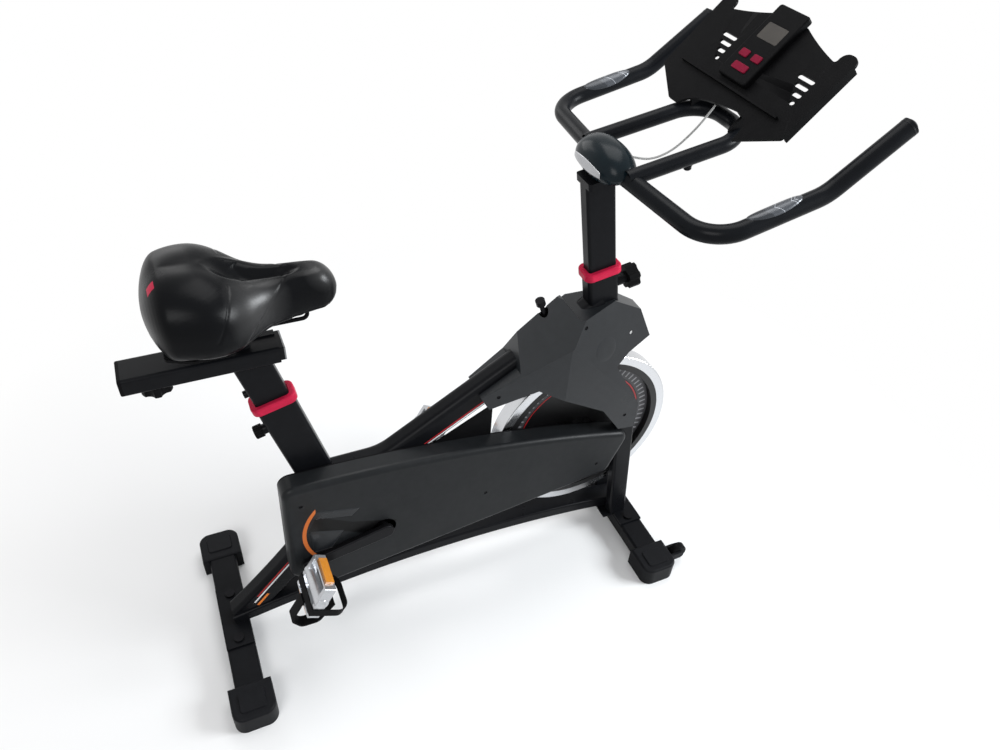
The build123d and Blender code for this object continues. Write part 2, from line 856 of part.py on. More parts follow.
with BuildPart() as crank_pulley:
    with BuildSketch(side_plane(-pulley_inner_y)):
        with Locations((crank_x, crank_z)):
            Circle(pulley_radius)
            Circle(spindle_dia / 2 + press_gap, mode=Mode.SUBTRACT)
    extrude(amount=pulley_width)
    recess = (pulley_width - pulley_web) / 2
    for start in (-pulley_inner_y, -pulley_inner_y - pulley_width + recess):
        with BuildSketch(side_plane(start)):
            with Locations((crank_x, crank_z)):
                Circle(pulley_radius - pulley_rim)
                Circle(pulley_hub_radius, mode=Mode.SUBTRACT)
        extrude(amount=recess, mode=Mode.SUBTRACT)
write(crank_pulley, "crank_pulley")

pedal_reach = (crank_length * cos(radians(crank_drop)), crank_length * sin(radians(crank_drop)))
pedal_places = {}
for name, side in (("right", -1), ("left", 1)):
    end_x = crank_x + side * pedal_reach[0]
    end_z = crank_z + side * pedal_reach[1]
    pedal_places[name] = (end_x, end_z)
    near_y = side * arm_inner_y if side < 0 else side * (arm_inner_y + arm_thickness)
    with BuildPart() as arm:
        with BuildSketch(side_plane(near_y)):
            with Locations((crank_x, crank_z)):
                Circle(arm_hub_radius)
            with Locations((end_x, end_z)):
                Circle(arm_end_radius)
            make_hull()
            with Locations((crank_x, crank_z)):
                Circle(spindle_dia / 2 + press_gap, mode=Mode.SUBTRACT)
            with Locations((end_x, end_z)):
                Circle(pedal_axle_dia / 2 + press_gap, mode=Mode.SUBTRACT)
        extrude(amount=arm_thickness)
        fillet(edges().filter_by(GeomType.LINE).filter_by(Axis.Y, reverse=True), radius=arm_edge)
    write(arm, f"crank_arm_{name}")

pedal_inner_y = arm_inner_y + arm_thickness + pedal_gap
pedal_outer_y = pedal_inner_y + pedal_width
with BuildPart() as pedal_axles:
    for name, side in (("right", -1), ("left", 1)):
        start_y = side * arm_inner_y if side < 0 else side * (pedal_outer_y - pedal_end_bar)
        with BuildSketch(side_plane(start_y)):
            with Locations(pedal_places[name]):
                Circle(pedal_axle_dia / 2)
        extrude(amount=pedal_outer_y - pedal_end_bar - arm_inner_y)
write(pedal_axles, "pedal_axles")

# Pedals hang with the toe cage down and back; local x points at the toe, local z out of the sole
def strap_loop(grow):
    """Loop of the strap round the pedal and over the shoe, grown by the strap's thickness for its outside."""
    with BuildSketch() as loop:
        with Locations((0, (strap_height - pedal_plate_height / 2) / 2)):
            Rectangle(pedal_width + 2 * grow, strap_height + pedal_plate_height / 2 + 2 * grow)
        fillet(vertices().sort_by(Axis.Y)[-2:], radius=strap_round + grow)
    return loop.sketch


tip = radians(pedal_tip_angle)
toe_dir = (cos(tip), 0, -sin(tip))
sole_dir = (sin(tip), 0, cos(tip))
plate_x = pedal_length / 2
for name, side in (("right", -1), ("left", 1)):
    end_x, end_z = pedal_places[name]
    mid_y = side * (pedal_inner_y + pedal_outer_y) / 2
    level = Plane(origin=(end_x, mid_y, end_z), x_dir=toe_dir, z_dir=sole_dir)
    across = Plane(origin=(end_x, mid_y, end_z), x_dir=toe_dir, z_dir=(0, -1, 0))
    with BuildPart() as pedal:
        with BuildSketch(across.offset(-pedal_width / 2)):
            Circle(pedal_barrel_dia / 2)
        extrude(amount=pedal_width)
        with BuildSketch(level.offset(-pedal_plate_height / 2)):
            Rectangle(pedal_length, pedal_width)
            Rectangle(pedal_length - 2 * pedal_plate, pedal_width - 2 * pedal_end_bar, mode=Mode.SUBTRACT)
        extrude(amount=pedal_plate_height)
        fillet(edges().filter_by(Axis((0, 0, 0), sole_dir)), radius=pedal_edge)
        with BuildSketch(across.offset(-pedal_width / 2)):
            Circle(pedal_axle_dia / 2 + run_gap)
        extrude(amount=pedal_width, mode=Mode.SUBTRACT)
    write(pedal, f"pedal_{name}")

    with BuildPart() as reflectors:
        for end in (-1, 1):
            with BuildSketch(level.offset(-reflector_height / 2)):
                with Locations((end * (plate_x + reflector_depth / 2), 0)):
                    Rectangle(reflector_depth, reflector_length)
            extrude(amount=reflector_height)
    write(reflectors, f"pedal_{name}_reflectors")

    # Toe cage: a strip under the toe plate that curls up and back over the shoe, and the strap loop
    low = -(pedal_plate_height + toe_thickness) / 2
    cage_front = plate_x + reflector_depth + toe_reach
    with BuildPart() as toe_cage:
        with BuildLine(across) as curl:
            FilletPolyline(
                (plate_x - pedal_plate - toe_tuck, low),
                (cage_front - toe_slant, low),
                (cage_front, low + toe_height / 2),
                (cage_front - toe_slant, low + toe_height),
                (plate_x, low + toe_height + toe_lift),
                radius=toe_bend,
            )
        with BuildSketch(Plane(origin=curl.line @ 0, x_dir=(0, 1, 0), z_dir=curl.line % 0)):
            Rectangle(toe_strip, toe_thickness)
        sweep(path=curl.line)
        strap_plane = Plane(origin=level.origin, x_dir=(0, 1, 0), z_dir=toe_dir)
        with BuildSketch(strap_plane.offset(pedal_barrel_dia / 2 + strap_thickness)):
            add(strap_loop(strap_thickness))
            add(strap_loop(0.0), mode=Mode.SUBTRACT)
        extrude(amount=strap_width)
    write(toe_cage, f"pedal_{name}_toe_cage")

# Flywheel on its bearings, axle with shoulders and nuts, and the small pulley on its hub
hub_near = pulley_inner_y
with BuildPart() as flywheel:
    with BuildSketch(side_plane(flywheel_thickness / 2)):
        with Locations((flywheel_x, flywheel_z)):
            Circle(flywheel_radius)
    extrude(amount=flywheel_thickness)
    rim_edges = edges().filter_by(GeomType.CIRCLE)
    fillet(rim_edges, radius=rim_edge)
    recess = (flywheel_thickness - web_thickness) / 2
    for start in (flywheel_thickness / 2, -flywheel_thickness / 2 + recess):
        with BuildSketch(side_plane(start)):
            with Locations((flywheel_x, flywheel_z)):
                Circle(flywheel_radius - rim_depth)
        extrude(amount=recess, mode=Mode.SUBTRACT)
    with BuildSketch(side_plane(hub_near)):
        with Locations((flywheel_x, flywheel_z)):
            Circle(hub_radius)
    extrude(amount=2 * hub_near)
    with BuildSketch(side_plane(hub_near)):
        with Locations((flywheel_x, flywheel_z)):
            Circle(hub_bearing_dia / 2 + press_gap)
    extrude(amount=2 * hub_near, mode=Mode.SUBTRACT)
write(flywheel, "flywheel")

bearing_out = hub_near - hub_bearing_set
with BuildPart() as hub_bearings:
    for start in (bearing_out, -bearing_out + hub_bearing_width):
        with BuildSketch(side_plane(start)):
            with Locations((flywheel_x, flywheel_z)):
                Circle(hub_bearing_dia / 2)
                Circle(axle_dia / 2 + run_gap, mode=Mode.SUBTRACT)
        extrude(amount=hub_bearing_width)
write(hub_bearings, "hub_bearings")

with BuildPart() as flywheel_pulley:
    with BuildSketch(side_plane(-pulley_inner_y)):
        with Locations((flywheel_x, flywheel_z)):
            Circle(small_pulley_radius)
            Circle(axle_shoulder_dia / 2 + pulley_bore_gap, mode=Mode.SUBTRACT)
    extrude(amount=pulley_width)
write(flywheel_pulley, "flywheel_pulley")

nut_face = dropout_inner_y + dropout_thickness
with BuildPart() as flywheel_axle:
    with BuildSketch(side_plane(axle_length / 2)):
        with Locations((flywheel_x, flywheel_z)):
            Circle(axle_dia / 2)
    extrude(amount=axle_length)
    for start in (dropout_inner_y, -bearing_out - seat_gap):
        with BuildSketch(side_plane(start)):
            with Locations((flywheel_x, flywheel_z)):
                Circle(axle_shoulder_dia / 2)
        extrude(amount=dropout_inner_y - bearing_out - seat_gap)

with BuildPart() as axle_nuts:
    for start in (nut_face + nut_height, -nut_face):
        with BuildSketch(side_plane(start)):
            with Locations((flywheel_x, flywheel_z)):
                RegularPolygon(nut_flats / 2, 6, major_radius=False)
                Circle(axle_dia / 2 + press_gap, mode=Mode.SUBTRACT)
        extrude(amount=nut_height)
    add(flywheel_axle.part)
write(axle_nuts, "flywheel_axle")

# Drive belt round both pulleys
with BuildPart() as drive_belt:
    belt_start = -pulley_inner_y - (pulley_width - belt_width) / 2
    for grow, mode in ((belt_gap + belt_thickness, Mode.ADD), (belt_gap, Mode.SUBTRACT)):
        with BuildSketch(side_plane(belt_start)):
            with Locations((crank_x, crank_z)):
                Circle(pulley_radius + grow)
            with Locations((flywheel_x, flywheel_z)):
                Circle(small_pulley_radius + grow)
            make_hull()
        extrude(amount=belt_width, mode=mode)
write(drive_belt, "drive_belt")


# Belt cover: an outer shell and a back plate on one outline
def cover_outline():
    """Side outline of the belt cover: arched top, straight sloping bottom, rounded corners."""
    with BuildSketch() as outline:
        with BuildLine():
            ThreePointArc(
                (cover_rear_top_x, cover_rear_top_z), (cover_crest_x, cover_crest_z),
                (cover_front_x, cover_front_top_z),
            )
            Polyline(
                (cover_front_x, cover_front_top_z),
                (cover_nose_x, cover_nose_z),
                (cover_low_x, cover_low_z),
                (cover_rear_x, cover_heel_z),
                (cover_rear_top_x, cover_rear_top_z),
            )
        make_face()
        fillet(vertices(), radius=cover_corner)
    return outline.sketch


cover_deep = cover_outer_y - cover_inner_y


def cover_block(inset):
    """The cover's outer form with its rounded near edge, or the hollow that lies a wall inside it."""
    with BuildPart() as block:
        with BuildSketch(side_plane(-cover_inner_y)):
            add(cover_outline())
            if inset:
                offset(amount=-inset, mode=Mode.REPLACE)
        extrude(amount=cover_deep - inset)
        fillet(faces().sort_by(Axis.Y)[0].edges(), radius=cover_round - inset)
    return block.part


def dropout_slot(side):
    """Room round one axle plate."""
    with BuildPart() as slot:
        with Locations((leg_axle_x, side * (dropout_inner_y + dropout_thickness / 2), flywheel_z)):
            Box(
                leg_axle_x - flywheel_x,
                dropout_thickness + 2 * cover_gap,
                dropout_height + 2 * cover_gap,
                align=(Align.MAX, Align.CENTER, Align.CENTER),
            )
    return slot.part


with BuildPart() as belt_cover_outer:
    add(cover_block(0.0))
    add(cover_block(cover_wall), mode=Mode.SUBTRACT)
    with BuildSketch(side_plane(-cover_inner_y)):
        with Locations((crank_x, crank_z)):
            Circle(spindle_hole_radius)
        with Locations(*cover_screw_places):
            Circle(screw_dia / 2 + seat_gap)
    extrude(amount=cover_deep, mode=Mode.SUBTRACT)
    add(leg_envelope(-1, cover_gap), mode=Mode.SUBTRACT)
    add(dropout_slot(-1), mode=Mode.SUBTRACT)
write(belt_cover_outer, "belt_cover_outer")

# Back plate of the cover, with the panel that fills the corner under the top tube
top_bottom_offset = top_depth / 2 / cos(radians(top_slope)) - panel_rise


def under_top(x):
    """Height a little above the top tube's lower edge at x."""
    return top_level_z + (x - top_kink_x) * tan(radians(top_slope)) - top_bottom_offset


with BuildPart() as belt_cover_inner:
    with BuildSketch(side_plane(-cover_inner_y + back_plate + back_plate_gap)):
        add(cover_outline())
        with BuildLine():
            Polyline(
                (panel_rear_x, under_top(panel_rear_x)),
                (panel_front_x, guard_points["tail_low"][1] - cover_gap),
                (panel_front_x, cover_crest_z - cover_corner),
                (panel_rear_x, cover_crest_z - cover_corner),
                close=True,
            )
        make_face()
        with Locations((crank_x, crank_z)):
            Circle(shell_dia / 2 + cover_gap, mode=Mode.SUBTRACT)
        with Locations((flywheel_x, flywheel_z)):
            Circle(hub_radius + hub_hole_gap, mode=Mode.SUBTRACT)
    extrude(amount=back_plate)
    add(leg_envelope(-1, cover_gap), mode=Mode.SUBTRACT)
write(belt_cover_inner, "belt_cover_inner")

# Flywheel guard: two mirrored half shells round the head, crown and top of the flywheel
crease_rear = (guard_crease_rear[0], -guard_half, guard_crease_rear[1])
crease_front = (guard_crease_front[0], -guard_half, guard_crease_front[1])
nose_edge = (guard_nose_edge[0], -guard_nose_half, guard_nose_edge[1])
tail_x, tail_z = guard_points["tail_top"]
head_rear_x, head_rear_z = guard_points["head_rear"]


def facet(a, b, c, inset):
    """Cutting plane through three points of the right half, moved inwards by the inset, facing outwards."""
    normal = (Vector(*b) - Vector(*a)).cross(Vector(*c) - Vector(*a)).normalized()
    outward = normal if normal.Y < 0 else -normal
    return Plane(origin=Vector(*a) - outward * inset, z_dir=outward)


def guard_block(inset):
    """Right half of the guard as a faceted solid; with an inset, the hollow inside it."""
    with BuildPart() as block:
        with BuildSketch(side_plane(0.0)):
            with BuildLine():
                Polyline(*guard_points.values(), close=True)
            make_face()
            if inset:
                offset(amount=-inset, kind=Kind.INTERSECTION, mode=Mode.REPLACE)
        extrude(amount=guard_half - inset)
        tail_low = (tail_x, -guard_tail_half, tail_z - guard_half)
        tail_high = (tail_x, -guard_tail_half, tail_z)
        side_end = (guard_taper_x, -guard_half, tail_z)
        split(bisect_by=facet(tail_low, tail_high, side_end, inset), keep=Keep.BOTTOM)
        split(bisect_by=facet(crease_rear, crease_front, nose_edge, inset), keep=Keep.BOTTOM)
        roof_end = (head_rear_x, -guard_roof_half, head_rear_z)
        split(bisect_by=facet(tail_high, crease_rear, roof_end, inset), keep=Keep.BOTTOM)
    return block.part


with BuildPart() as wheel_room:
    with BuildSketch(side_plane(flywheel_thickness / 2 + guard_wheel_gap)):
        with Locations((flywheel_x, flywheel_z)):
            Circle(flywheel_radius + guard_wheel_gap)
    extrude(amount=flywheel_thickness + 2 * guard_wheel_gap)

with BuildPart() as rod_room:
    with BuildSketch(rod_down.offset(-rod_room_rise)):
        Circle(brake_head_dia / 2 + cover_gap)
    extrude(amount=2 * rod_room_rise)

with BuildPart() as screw_rods:
    for place in guard_screw_places:
        with BuildSketch(side_plane(0.0)):
            with Locations(place):
                Circle(screw_dia / 2)
        extrude(amount=guard_half + cut_over)

with BuildPart() as guard_right:
    add(guard_block(0.0))
    add(guard_block(guard_wall), mode=Mode.SUBTRACT)
    add(wheel_room.part, mode=Mode.SUBTRACT)
    add(rod_room.part, mode=Mode.SUBTRACT)
    add(head_envelope(cover_gap), mode=Mode.SUBTRACT)
    add(crown_envelope(cover_gap), mode=Mode.SUBTRACT)
    add(leg_envelope(-1, cover_gap), mode=Mode.SUBTRACT)
    add(top_form(cover_gap), mode=Mode.SUBTRACT)
    for place in guard_screw_places:
        with BuildSketch(side_plane(0.0)):
            with Locations(place):
                Circle(screw_dia / 2 + seat_gap)
        extrude(amount=guard_half + cut_over, mode=Mode.SUBTRACT)
    guard_shell = guard_right.part.solids().sort_by(SortBy.VOLUME)[-1]
with BuildPart() as guard_right:
    add(guard_shell)
write(guard_right, "guard_right")

with BuildPart() as guard_left:
    add(mirror(guard_shell, about=Plane.XZ))
write(guard_left, "guard_left")

# Screws of the guard halves and of the belt cover
with BuildPart() as cover_screws:
    add(guard_block(screw_depth))
    add(guard_block(guard_wall + screw_depth), mode=Mode.SUBTRACT)
    add(screw_rods.part, mode=Mode.INTERSECT)
    right_screws = [s for s in cover_screws.part.solids() if s.bounding_box().max.Y < -guard_half / 4]
with BuildPart() as cover_screws:
    for screw in right_screws:
        add(screw)
        add(mirror(screw, about=Plane.XZ))
    with BuildSketch(side_plane(-cover_outer_y + screw_depth + 3 * cover_wall)):
        with Locations(*cover_screw_places):
            Circle(screw_dia / 2)
    extrude(amount=3 * cover_wall)
    add(stabilizer_bolts.part)
write(cover_screws, "frame_fasteners")

# Brake: tension screw with its thumb wheel, and the shoe that it presses down
with BuildPart() as tension_screw:
    with BuildSketch(rod_down):
        Circle(brake_rod_dia / 2)
    extrude(amount=shoe_back - seat_gap)
    with BuildSketch(rod_down):
        RegularPolygon(brake_head_dia / 2, 12)
    extrude(amount=-brake_head_height)
write(tension_screw, "tension_screw")

with BuildPart() as brake_shoe:
    with BuildSketch(rod_down.offset(shoe_back)):
        Rectangle(shoe_width, shoe_length)
    extrude(amount=shoe_height + shoe_length)
    with BuildSketch(side_plane(shoe_width)):
        with Locations((flywheel_x, flywheel_z)):
            Circle(flywheel_radius + shoe_rest_gap)
    extrude(amount=2 * shoe_width, mode=Mode.SUBTRACT)
    shoe_top = brake_shoe.part.solids().sort_by(Axis.Z)[-1]
with BuildPart() as brake_shoe:
    add(shoe_top)
write(brake_shoe, "brake_shoe")

# Red collars on the two tube ends
seat_top = lean_plane(seat_collar_x, seat_collar_z, seat_lean)
head_top = lean_plane(head_collar_x, head_collar_z, head_lean)
collars = (
    (seat_top, seat_tube_depth, seat_tube_width, seat_post_depth, seat_post_width),
    (head_top, head_tube_depth, head_tube_width, head_post_depth, head_post_width),
)
with BuildPart() as post_collars:
    for top, tube_depth, tube_width, post_depth, post_width in collars:
        with BuildPart(mode=Mode.PRIVATE) as collar:
            with BuildSketch(top.offset(-collar_height / 2)):
                RectangleRounded(
                    tube_depth + 2 * collar_rim, tube_width + 2 * collar_rim, seat_tube_corner + collar_rim
                )
            extrude(amount=collar_height)
            fillet(end_face(faces(), top.z_dir).edges(), radius=collar_round)
            with BuildSketch(top.offset(-collar_height)):
                RectangleRounded(
                    tube_depth + 2 * seat_gap, tube_width + 2 * seat_gap, seat_tube_corner + seat_gap
                )
            extrude(amount=collar_height, mode=Mode.SUBTRACT)
            with BuildSketch(top):
                RectangleRounded(post_depth + 2 * slide_gap, post_width + 2 * slide_gap, post_corner)
            extrude(amount=collar_height, mode=Mode.SUBTRACT)
        add(collar.part)
write(post_collars, "post_collars")

# Seat post with its stop stud on the rear face
post_run = (rail_bottom - seat_collar_z) / cos(radians(seat_lean)) + seat_post_depth
with BuildPart() as seat_post:
    add(
        box_tube(
            seat_top.offset(-seat_insert), seat_insert + post_run, seat_post_depth, seat_post_width,
            post_corner - slide_gap, post_wall,
        )
    )
    split(bisect_by=Plane.XY.offset(rail_bottom), keep=Keep.BOTTOM)
    stop_up = seat_top.offset(stop_rise)
    stop_plane = Plane(origin=stop_up.origin, x_dir=(0, 1, 0), z_dir=-stop_up.x_dir)
    with BuildSketch(stop_plane.offset(seat_post_depth / 2)):
        Circle(stop_dia / 2)
    extrude(amount=stop_height)
write(seat_post, "seat_post")


# Pull pin and clamp knob: a round pin through the tube's boss with a grip outside
def knob_form(plane, pin_from, grip_from, dia, height, lobes):
    """Pin from pin_from to the grip, and a lobed grip of the given size, both along the plane's normal."""
    with BuildPart() as knob:
        with BuildSketch(plane.offset(grip_from)):
            Circle(dia / 2)
            with PolarLocations(dia / 2 + dia / lobes, lobes):
                Circle(dia / lobes * knob_scallop, mode=Mode.SUBTRACT)
        extrude(amount=height)
        fillet(end_face(faces(), plane.z_dir).edges(), radius=knob_round)
        with BuildSketch(plane.offset(pin_from)):
            Circle(pin_dia / 2)
        extrude(amount=grip_from - pin_from)
    return knob.part


with BuildPart() as seat_pin_knob:
    pin_tip = seat_post_depth / 2 + slide_gap
    pin_grip = seat_tube_depth / 2 + pin_boss_height + seat_gap
    add(knob_form(pin_plane, pin_tip, pin_grip, pin_knob_dia, pin_knob_height, pin_lobes))
write(seat_pin_knob, "seat_pin_knob")

with BuildPart() as head_knob:
    pin_tip = head_post_depth / 2 + slide_gap
    pin_grip = head_tube_depth / 2 + head_boss_height + seat_gap
    add(knob_form(head_knob_plane, pin_tip, pin_grip, head_knob_dia, head_knob_height, star_lobes))
write(head_knob, "head_knob")

# Seat rail on the post, slotted for the slider's stub above and its knob below
rail_top = rail_bottom + rail_height
rail_mid = (rail_bottom + rail_top) / 2
rail_end = Plane(origin=(rail_rear_x, 0, rail_mid), x_dir=(0, 1, 0), z_dir=(1, 0, 0))
rail_length = rail_front_x - rail_rear_x
stub_slot_start = stub_x - stub_dia / 2 - slider_back - slot_play
knob_slot_start = rail_knob_x - knob_stud_dia / 2 - slider_back - slot_play
knob_slot_end = rail_knob_x + knob_stud_dia / 2 + slider_fore + slot_play
with BuildPart() as seat_rail:
    with BuildSketch(rail_end):
        RectangleRounded(rail_width, rail_height, rail_corner)
        RectangleRounded(
            rail_width - 2 * rail_wall,
            rail_height - 2 * rail_wall,
            rail_corner - rail_wall,
            mode=Mode.SUBTRACT,
        )
    extrude(amount=rail_length)
    with Locations((stub_slot_start, 0, rail_mid)):
        slot_align = (Align.MIN, Align.CENTER, Align.MIN)
        Box(rail_length, slot_width, rail_height, align=slot_align, mode=Mode.SUBTRACT)
    with Locations((knob_slot_start, 0, rail_mid)):
        Box(
            knob_slot_end - knob_slot_start, knob_stud_dia + 2 * slot_play, rail_height,
            align=(Align.MIN, Align.CENTER, Align.MAX), mode=Mode.SUBTRACT,
        )
write(seat_rail, "seat_rail")

with BuildPart() as rail_end_cap:
    with BuildSketch(rail_end):
        RectangleRounded(rail_width, rail_height, rail_corner)
    extrude(amount=-rail_cap)
    fillet(faces().sort_by(Axis.X)[0].edges(), radius=rail_cap / 2)
    with BuildSketch(rail_end):
        plug_inset = rail_wall + seat_gap
        RectangleRounded(rail_width - 2 * plug_inset, rail_height - 2 * plug_inset, rail_corner - rail_wall)
    extrude(amount=rail_plug)
write(rail_end_cap, "rail_end_cap")

# Slider inside the rail, with the stub that carries the saddle and a knob below
slider_inset = rail_wall + slide_gap
slider_bottom = rail_bottom + slider_inset
with BuildPart() as saddle_slider:
    with BuildSketch(Plane(origin=(slider_rear_x, 0, rail_mid), x_dir=(0, 1, 0), z_dir=(1, 0, 0))):
        slider_width = rail_width - 2 * slider_inset
        slider_height = rail_height - 2 * slider_inset
        RectangleRounded(slider_width, slider_height, rail_corner - rail_wall)
        Rectangle(slider_width - 2 * slider_wall, slider_height - 2 * slider_wall, mode=Mode.SUBTRACT)
    extrude(amount=slider_front_x - slider_rear_x)
    with BuildSketch(Plane.XY.offset(slider_bottom)):
        with Locations((stub_x, 0)):
            Circle(stub_dia / 2)
    extrude(amount=stub_top - slider_bottom)
    with BuildSketch(Plane.XY.offset(slider_bottom)):
        with Locations((rail_knob_x, 0)):
            Circle(knob_stud_dia / 2 + run_gap)
    extrude(amount=slider_wall, mode=Mode.SUBTRACT)
write(saddle_slider, "saddle_slider")

with BuildPart() as rail_knob:
    with BuildSketch(Plane.XY.offset(rail_bottom - seat_gap)):
        with Locations((rail_knob_x, 0)):
            Circle(rail_knob_dia / 2)
            with PolarLocations(rail_knob_dia / 2 + rail_knob_dia / star_lobes, star_lobes):
                Circle(rail_knob_dia / star_lobes * knob_scallop, mode=Mode.SUBTRACT)
    extrude(amount=-rail_knob_height)
    fillet(faces().sort_by(Axis.Z)[0].edges(), radius=knob_round)
    with BuildSketch(Plane.XY.offset(rail_bottom - seat_gap)):
        with Locations((rail_knob_x, 0)):
            Circle(knob_stud_dia / 2)
    extrude(amount=slider_inset + seat_gap + slider_wall)
write(rail_knob, "rail_knob")

# Saddle: clamp on the stub, two rails, pan and cushion
rail_y = (-saddle_rail_half, saddle_rail_half)
with BuildPart() as saddle_clamp:
    with BuildSketch(Plane.XY.offset(stub_top)):
        with Locations((stub_x, 0)):
            RectangleRounded(clamp_length, 2 * saddle_rail_half + 3 * saddle_rail_dia, saddle_rail_dia)
    extrude(amount=clamp_height)
    for y in rail_y:
        with BuildSketch(Plane(origin=(stub_x, y, saddle_rail_z), x_dir=(0, 1, 0), z_dir=(1, 0, 0))):
            Circle(saddle_rail_dia / 2 + press_gap)
        extrude(amount=clamp_length, both=True, mode=Mode.SUBTRACT)
write(saddle_clamp, "saddle_clamp")

with BuildPart() as saddle_base:
    for y in rail_y:
        with BuildLine() as rod:
            FilletPolyline(
                (saddle_rail_rear_x, y, pan_bottom),
                (saddle_rail_rear_x, y, saddle_rail_z),
                (saddle_rail_front_x, y, saddle_rail_z),
                (saddle_rail_front_x, y, pan_bottom),
                radius=saddle_rail_bend,
            )
        with BuildSketch(Plane(origin=rod.line @ 0, z_dir=(0, 0, -1))):
            Circle(saddle_rail_dia / 2)
        sweep(path=rod.line)
with BuildPart() as saddle_pan:
    with BuildSketch(Plane.XY.offset(pan_bottom)):
        with BuildLine():
            right = [(x, -max(half - pan_inset, pan_thickness)) for x, half, *rest in saddle_sections]
            left = [(x, -y) for x, y in reversed(right)]
            Polyline(*right, *left, close=True)
        make_face()
    extrude(amount=pan_thickness)
    split(bisect_by=Plane.YZ.offset(saddle_rail_rear_x - saddle_rail_dia), keep=Keep.TOP)
    split(bisect_by=Plane.YZ.offset(saddle_rail_front_x + saddle_rail_dia), keep=Keep.BOTTOM)
    add(saddle_base.part)
write(saddle_pan, "saddle_pan")

with BuildPart() as saddle_cushion:
    for x, half, top, low, dish in saddle_sections:
        with BuildSketch(Plane(origin=(x, 0, 0), x_dir=(0, 1, 0), z_dir=(1, 0, 0))):
            foot = saddle_foot_share * half
            crest = saddle_crest_share * half
            waist = low + saddle_waist_share * (top - low)
            with BuildLine():
                Line((-foot, low), (foot, low))
                ThreePointArc((foot, low), (half, waist), (crest, top))
                ThreePointArc((crest, top), (0, top + dish), (-crest, top))
                ThreePointArc((-crest, top), (-half, waist), (-foot, low))
            make_face()
    loft()
write(saddle_cushion, "saddle_cushion")

# Handlebar: two raised arms on one bent tube, and the front loop
bar_points = [
    (bar_tip_x, -bar_half, bar_tip_z),
    (bar_kink_x, -bar_half, bar_kink_z),
    (bar_corner_x, -bar_half, bar_corner_z),
    (bar_centre_x, 0, bar_centre_z),
    (bar_corner_x, bar_half, bar_corner_z),
    (bar_kink_x, bar_half, bar_kink_z),
    (bar_tip_x, bar_half, bar_tip_z),
]
bar_bends = [bar_kink_bend, bar_bend, bar_centre_bend, bar_bend, bar_kink_bend]
loop_points = [
    (bar_centre_x, -loop_half, loop_rear_z),
    (loop_front_x, -loop_half, loop_front_z),
    (loop_front_x, loop_half, loop_front_z),
    (bar_centre_x, loop_half, loop_rear_z),
]


def round_tube(points, bends, radius, wall=0.0):
    """Round tube along a bent line; a wall of 0 gives its solid envelope."""
    with BuildPart() as tube:
        with BuildLine() as run:
            FilletPolyline(*points, radius=bends)
        with BuildSketch(Plane(origin=run.line @ 0, z_dir=run.line % 0)):
            Circle(radius)
            if wall:
                Circle(radius - wall, mode=Mode.SUBTRACT)
        sweep(path=run.line)
    return tube.part


with BuildPart() as handlebar:
    add(round_tube(bar_points, bar_bends, bar_dia / 2, bar_tube_wall))
    for tip, kink in ((bar_points[0], bar_points[1]), (bar_points[-1], bar_points[-2])):
        with BuildSketch(Plane(origin=tip, z_dir=Vector(*tip) - Vector(*kink))):
            Circle(bar_dia / 2)
        extrude(amount=bar_cap)
write(handlebar, "handlebar")

bar_room = round_tube(bar_points, bar_bends, bar_dia / 2 + seat_gap)
loop_room = round_tube(loop_points, [loop_bend, loop_bend], loop_dia / 2 + seat_gap)
with BuildPart() as loop_bar:
    add(round_tube(loop_points, [loop_bend, loop_bend], loop_dia / 2, bar_tube_wall))
    add(bar_room, mode=Mode.SUBTRACT)
    loop_body = loop_bar.part.solids().sort_by(SortBy.VOLUME)[-1]
with BuildPart() as loop_bar:
    add(loop_body)
write(loop_bar, "loop_bar")

# Touch pads of the pulse sensor on the two arms
arm_run = Vector(bar_kink_x - bar_corner_x, 0, bar_kink_z - bar_corner_z).normalized()
with BuildPart() as sensor_pads:
    for side in (-1, 1):
        arm_start = Vector(bar_corner_x, side * bar_half, bar_corner_z)
        pad_start = arm_start + arm_run * (sensor_along - sensor_length / 2)
        with BuildSketch(Plane(origin=pad_start, x_dir=(0, 1, 0), z_dir=arm_run)):
            pad_inner = bar_dia / 2 + seat_gap
            Circle(pad_inner + sensor_thickness)
            Circle(pad_inner, mode=Mode.SUBTRACT)
            with Locations((0, pad_inner * cos(radians(sensor_arc / 2)))):
                Rectangle(2 * bar_dia, 2 * bar_dia, align=(Align.CENTER, Align.MAX), mode=Mode.SUBTRACT)
        extrude(amount=sensor_length)
write(sensor_pads, "sensor_pads")

# Handlebar post with its flange and the cradle under the bar
axis_at_bar = head_collar_x - (bar_centre_z - head_collar_z) * tan(radians(head_lean))
bar_ahead = bar_centre_x - axis_at_bar
flange_tilt = bar_ahead * tan(radians(head_lean))
flange_z = bar_centre_z - bar_dia / 2 - seat_gap - bar_cover_wall - flange_tilt
flange_along = (flange_z - head_collar_z) / cos(radians(head_lean))
flange_top = head_top.offset(flange_along)
with BuildPart() as handlebar_post:
    add(
        box_tube(
            head_top.offset(-head_insert), head_insert + flange_along, head_post_depth, head_post_width,
            post_corner - slide_gap, post_wall,
        )
    )
    with BuildSketch(flange_top):
        with Locations((bar_ahead / 2, 0)):
            RectangleRounded(flange_length, flange_width, post_corner)
    extrude(amount=-flange_height)
    with BuildSketch(flange_top):
        with Locations((bar_ahead, 0)):
            Rectangle(cradle_length, cradle_width)
    extrude(amount=bar_dia / 2)
    add(bar_room, mode=Mode.SUBTRACT)
write(handlebar_post, "handlebar_post")

# Cover round the middle of the bar
wire_start = Vector(wire_route[0][0], 0, wire_route[0][1])
wire_lead = (Vector(wire_route[1][0], 0, wire_route[1][1]) - wire_start).normalized()
wire_end = Vector(wire_route[-1][0], 0, wire_route[-1][1])
wire_tail = (wire_end - Vector(wire_route[-2][0], 0, wire_route[-2][1])).normalized()


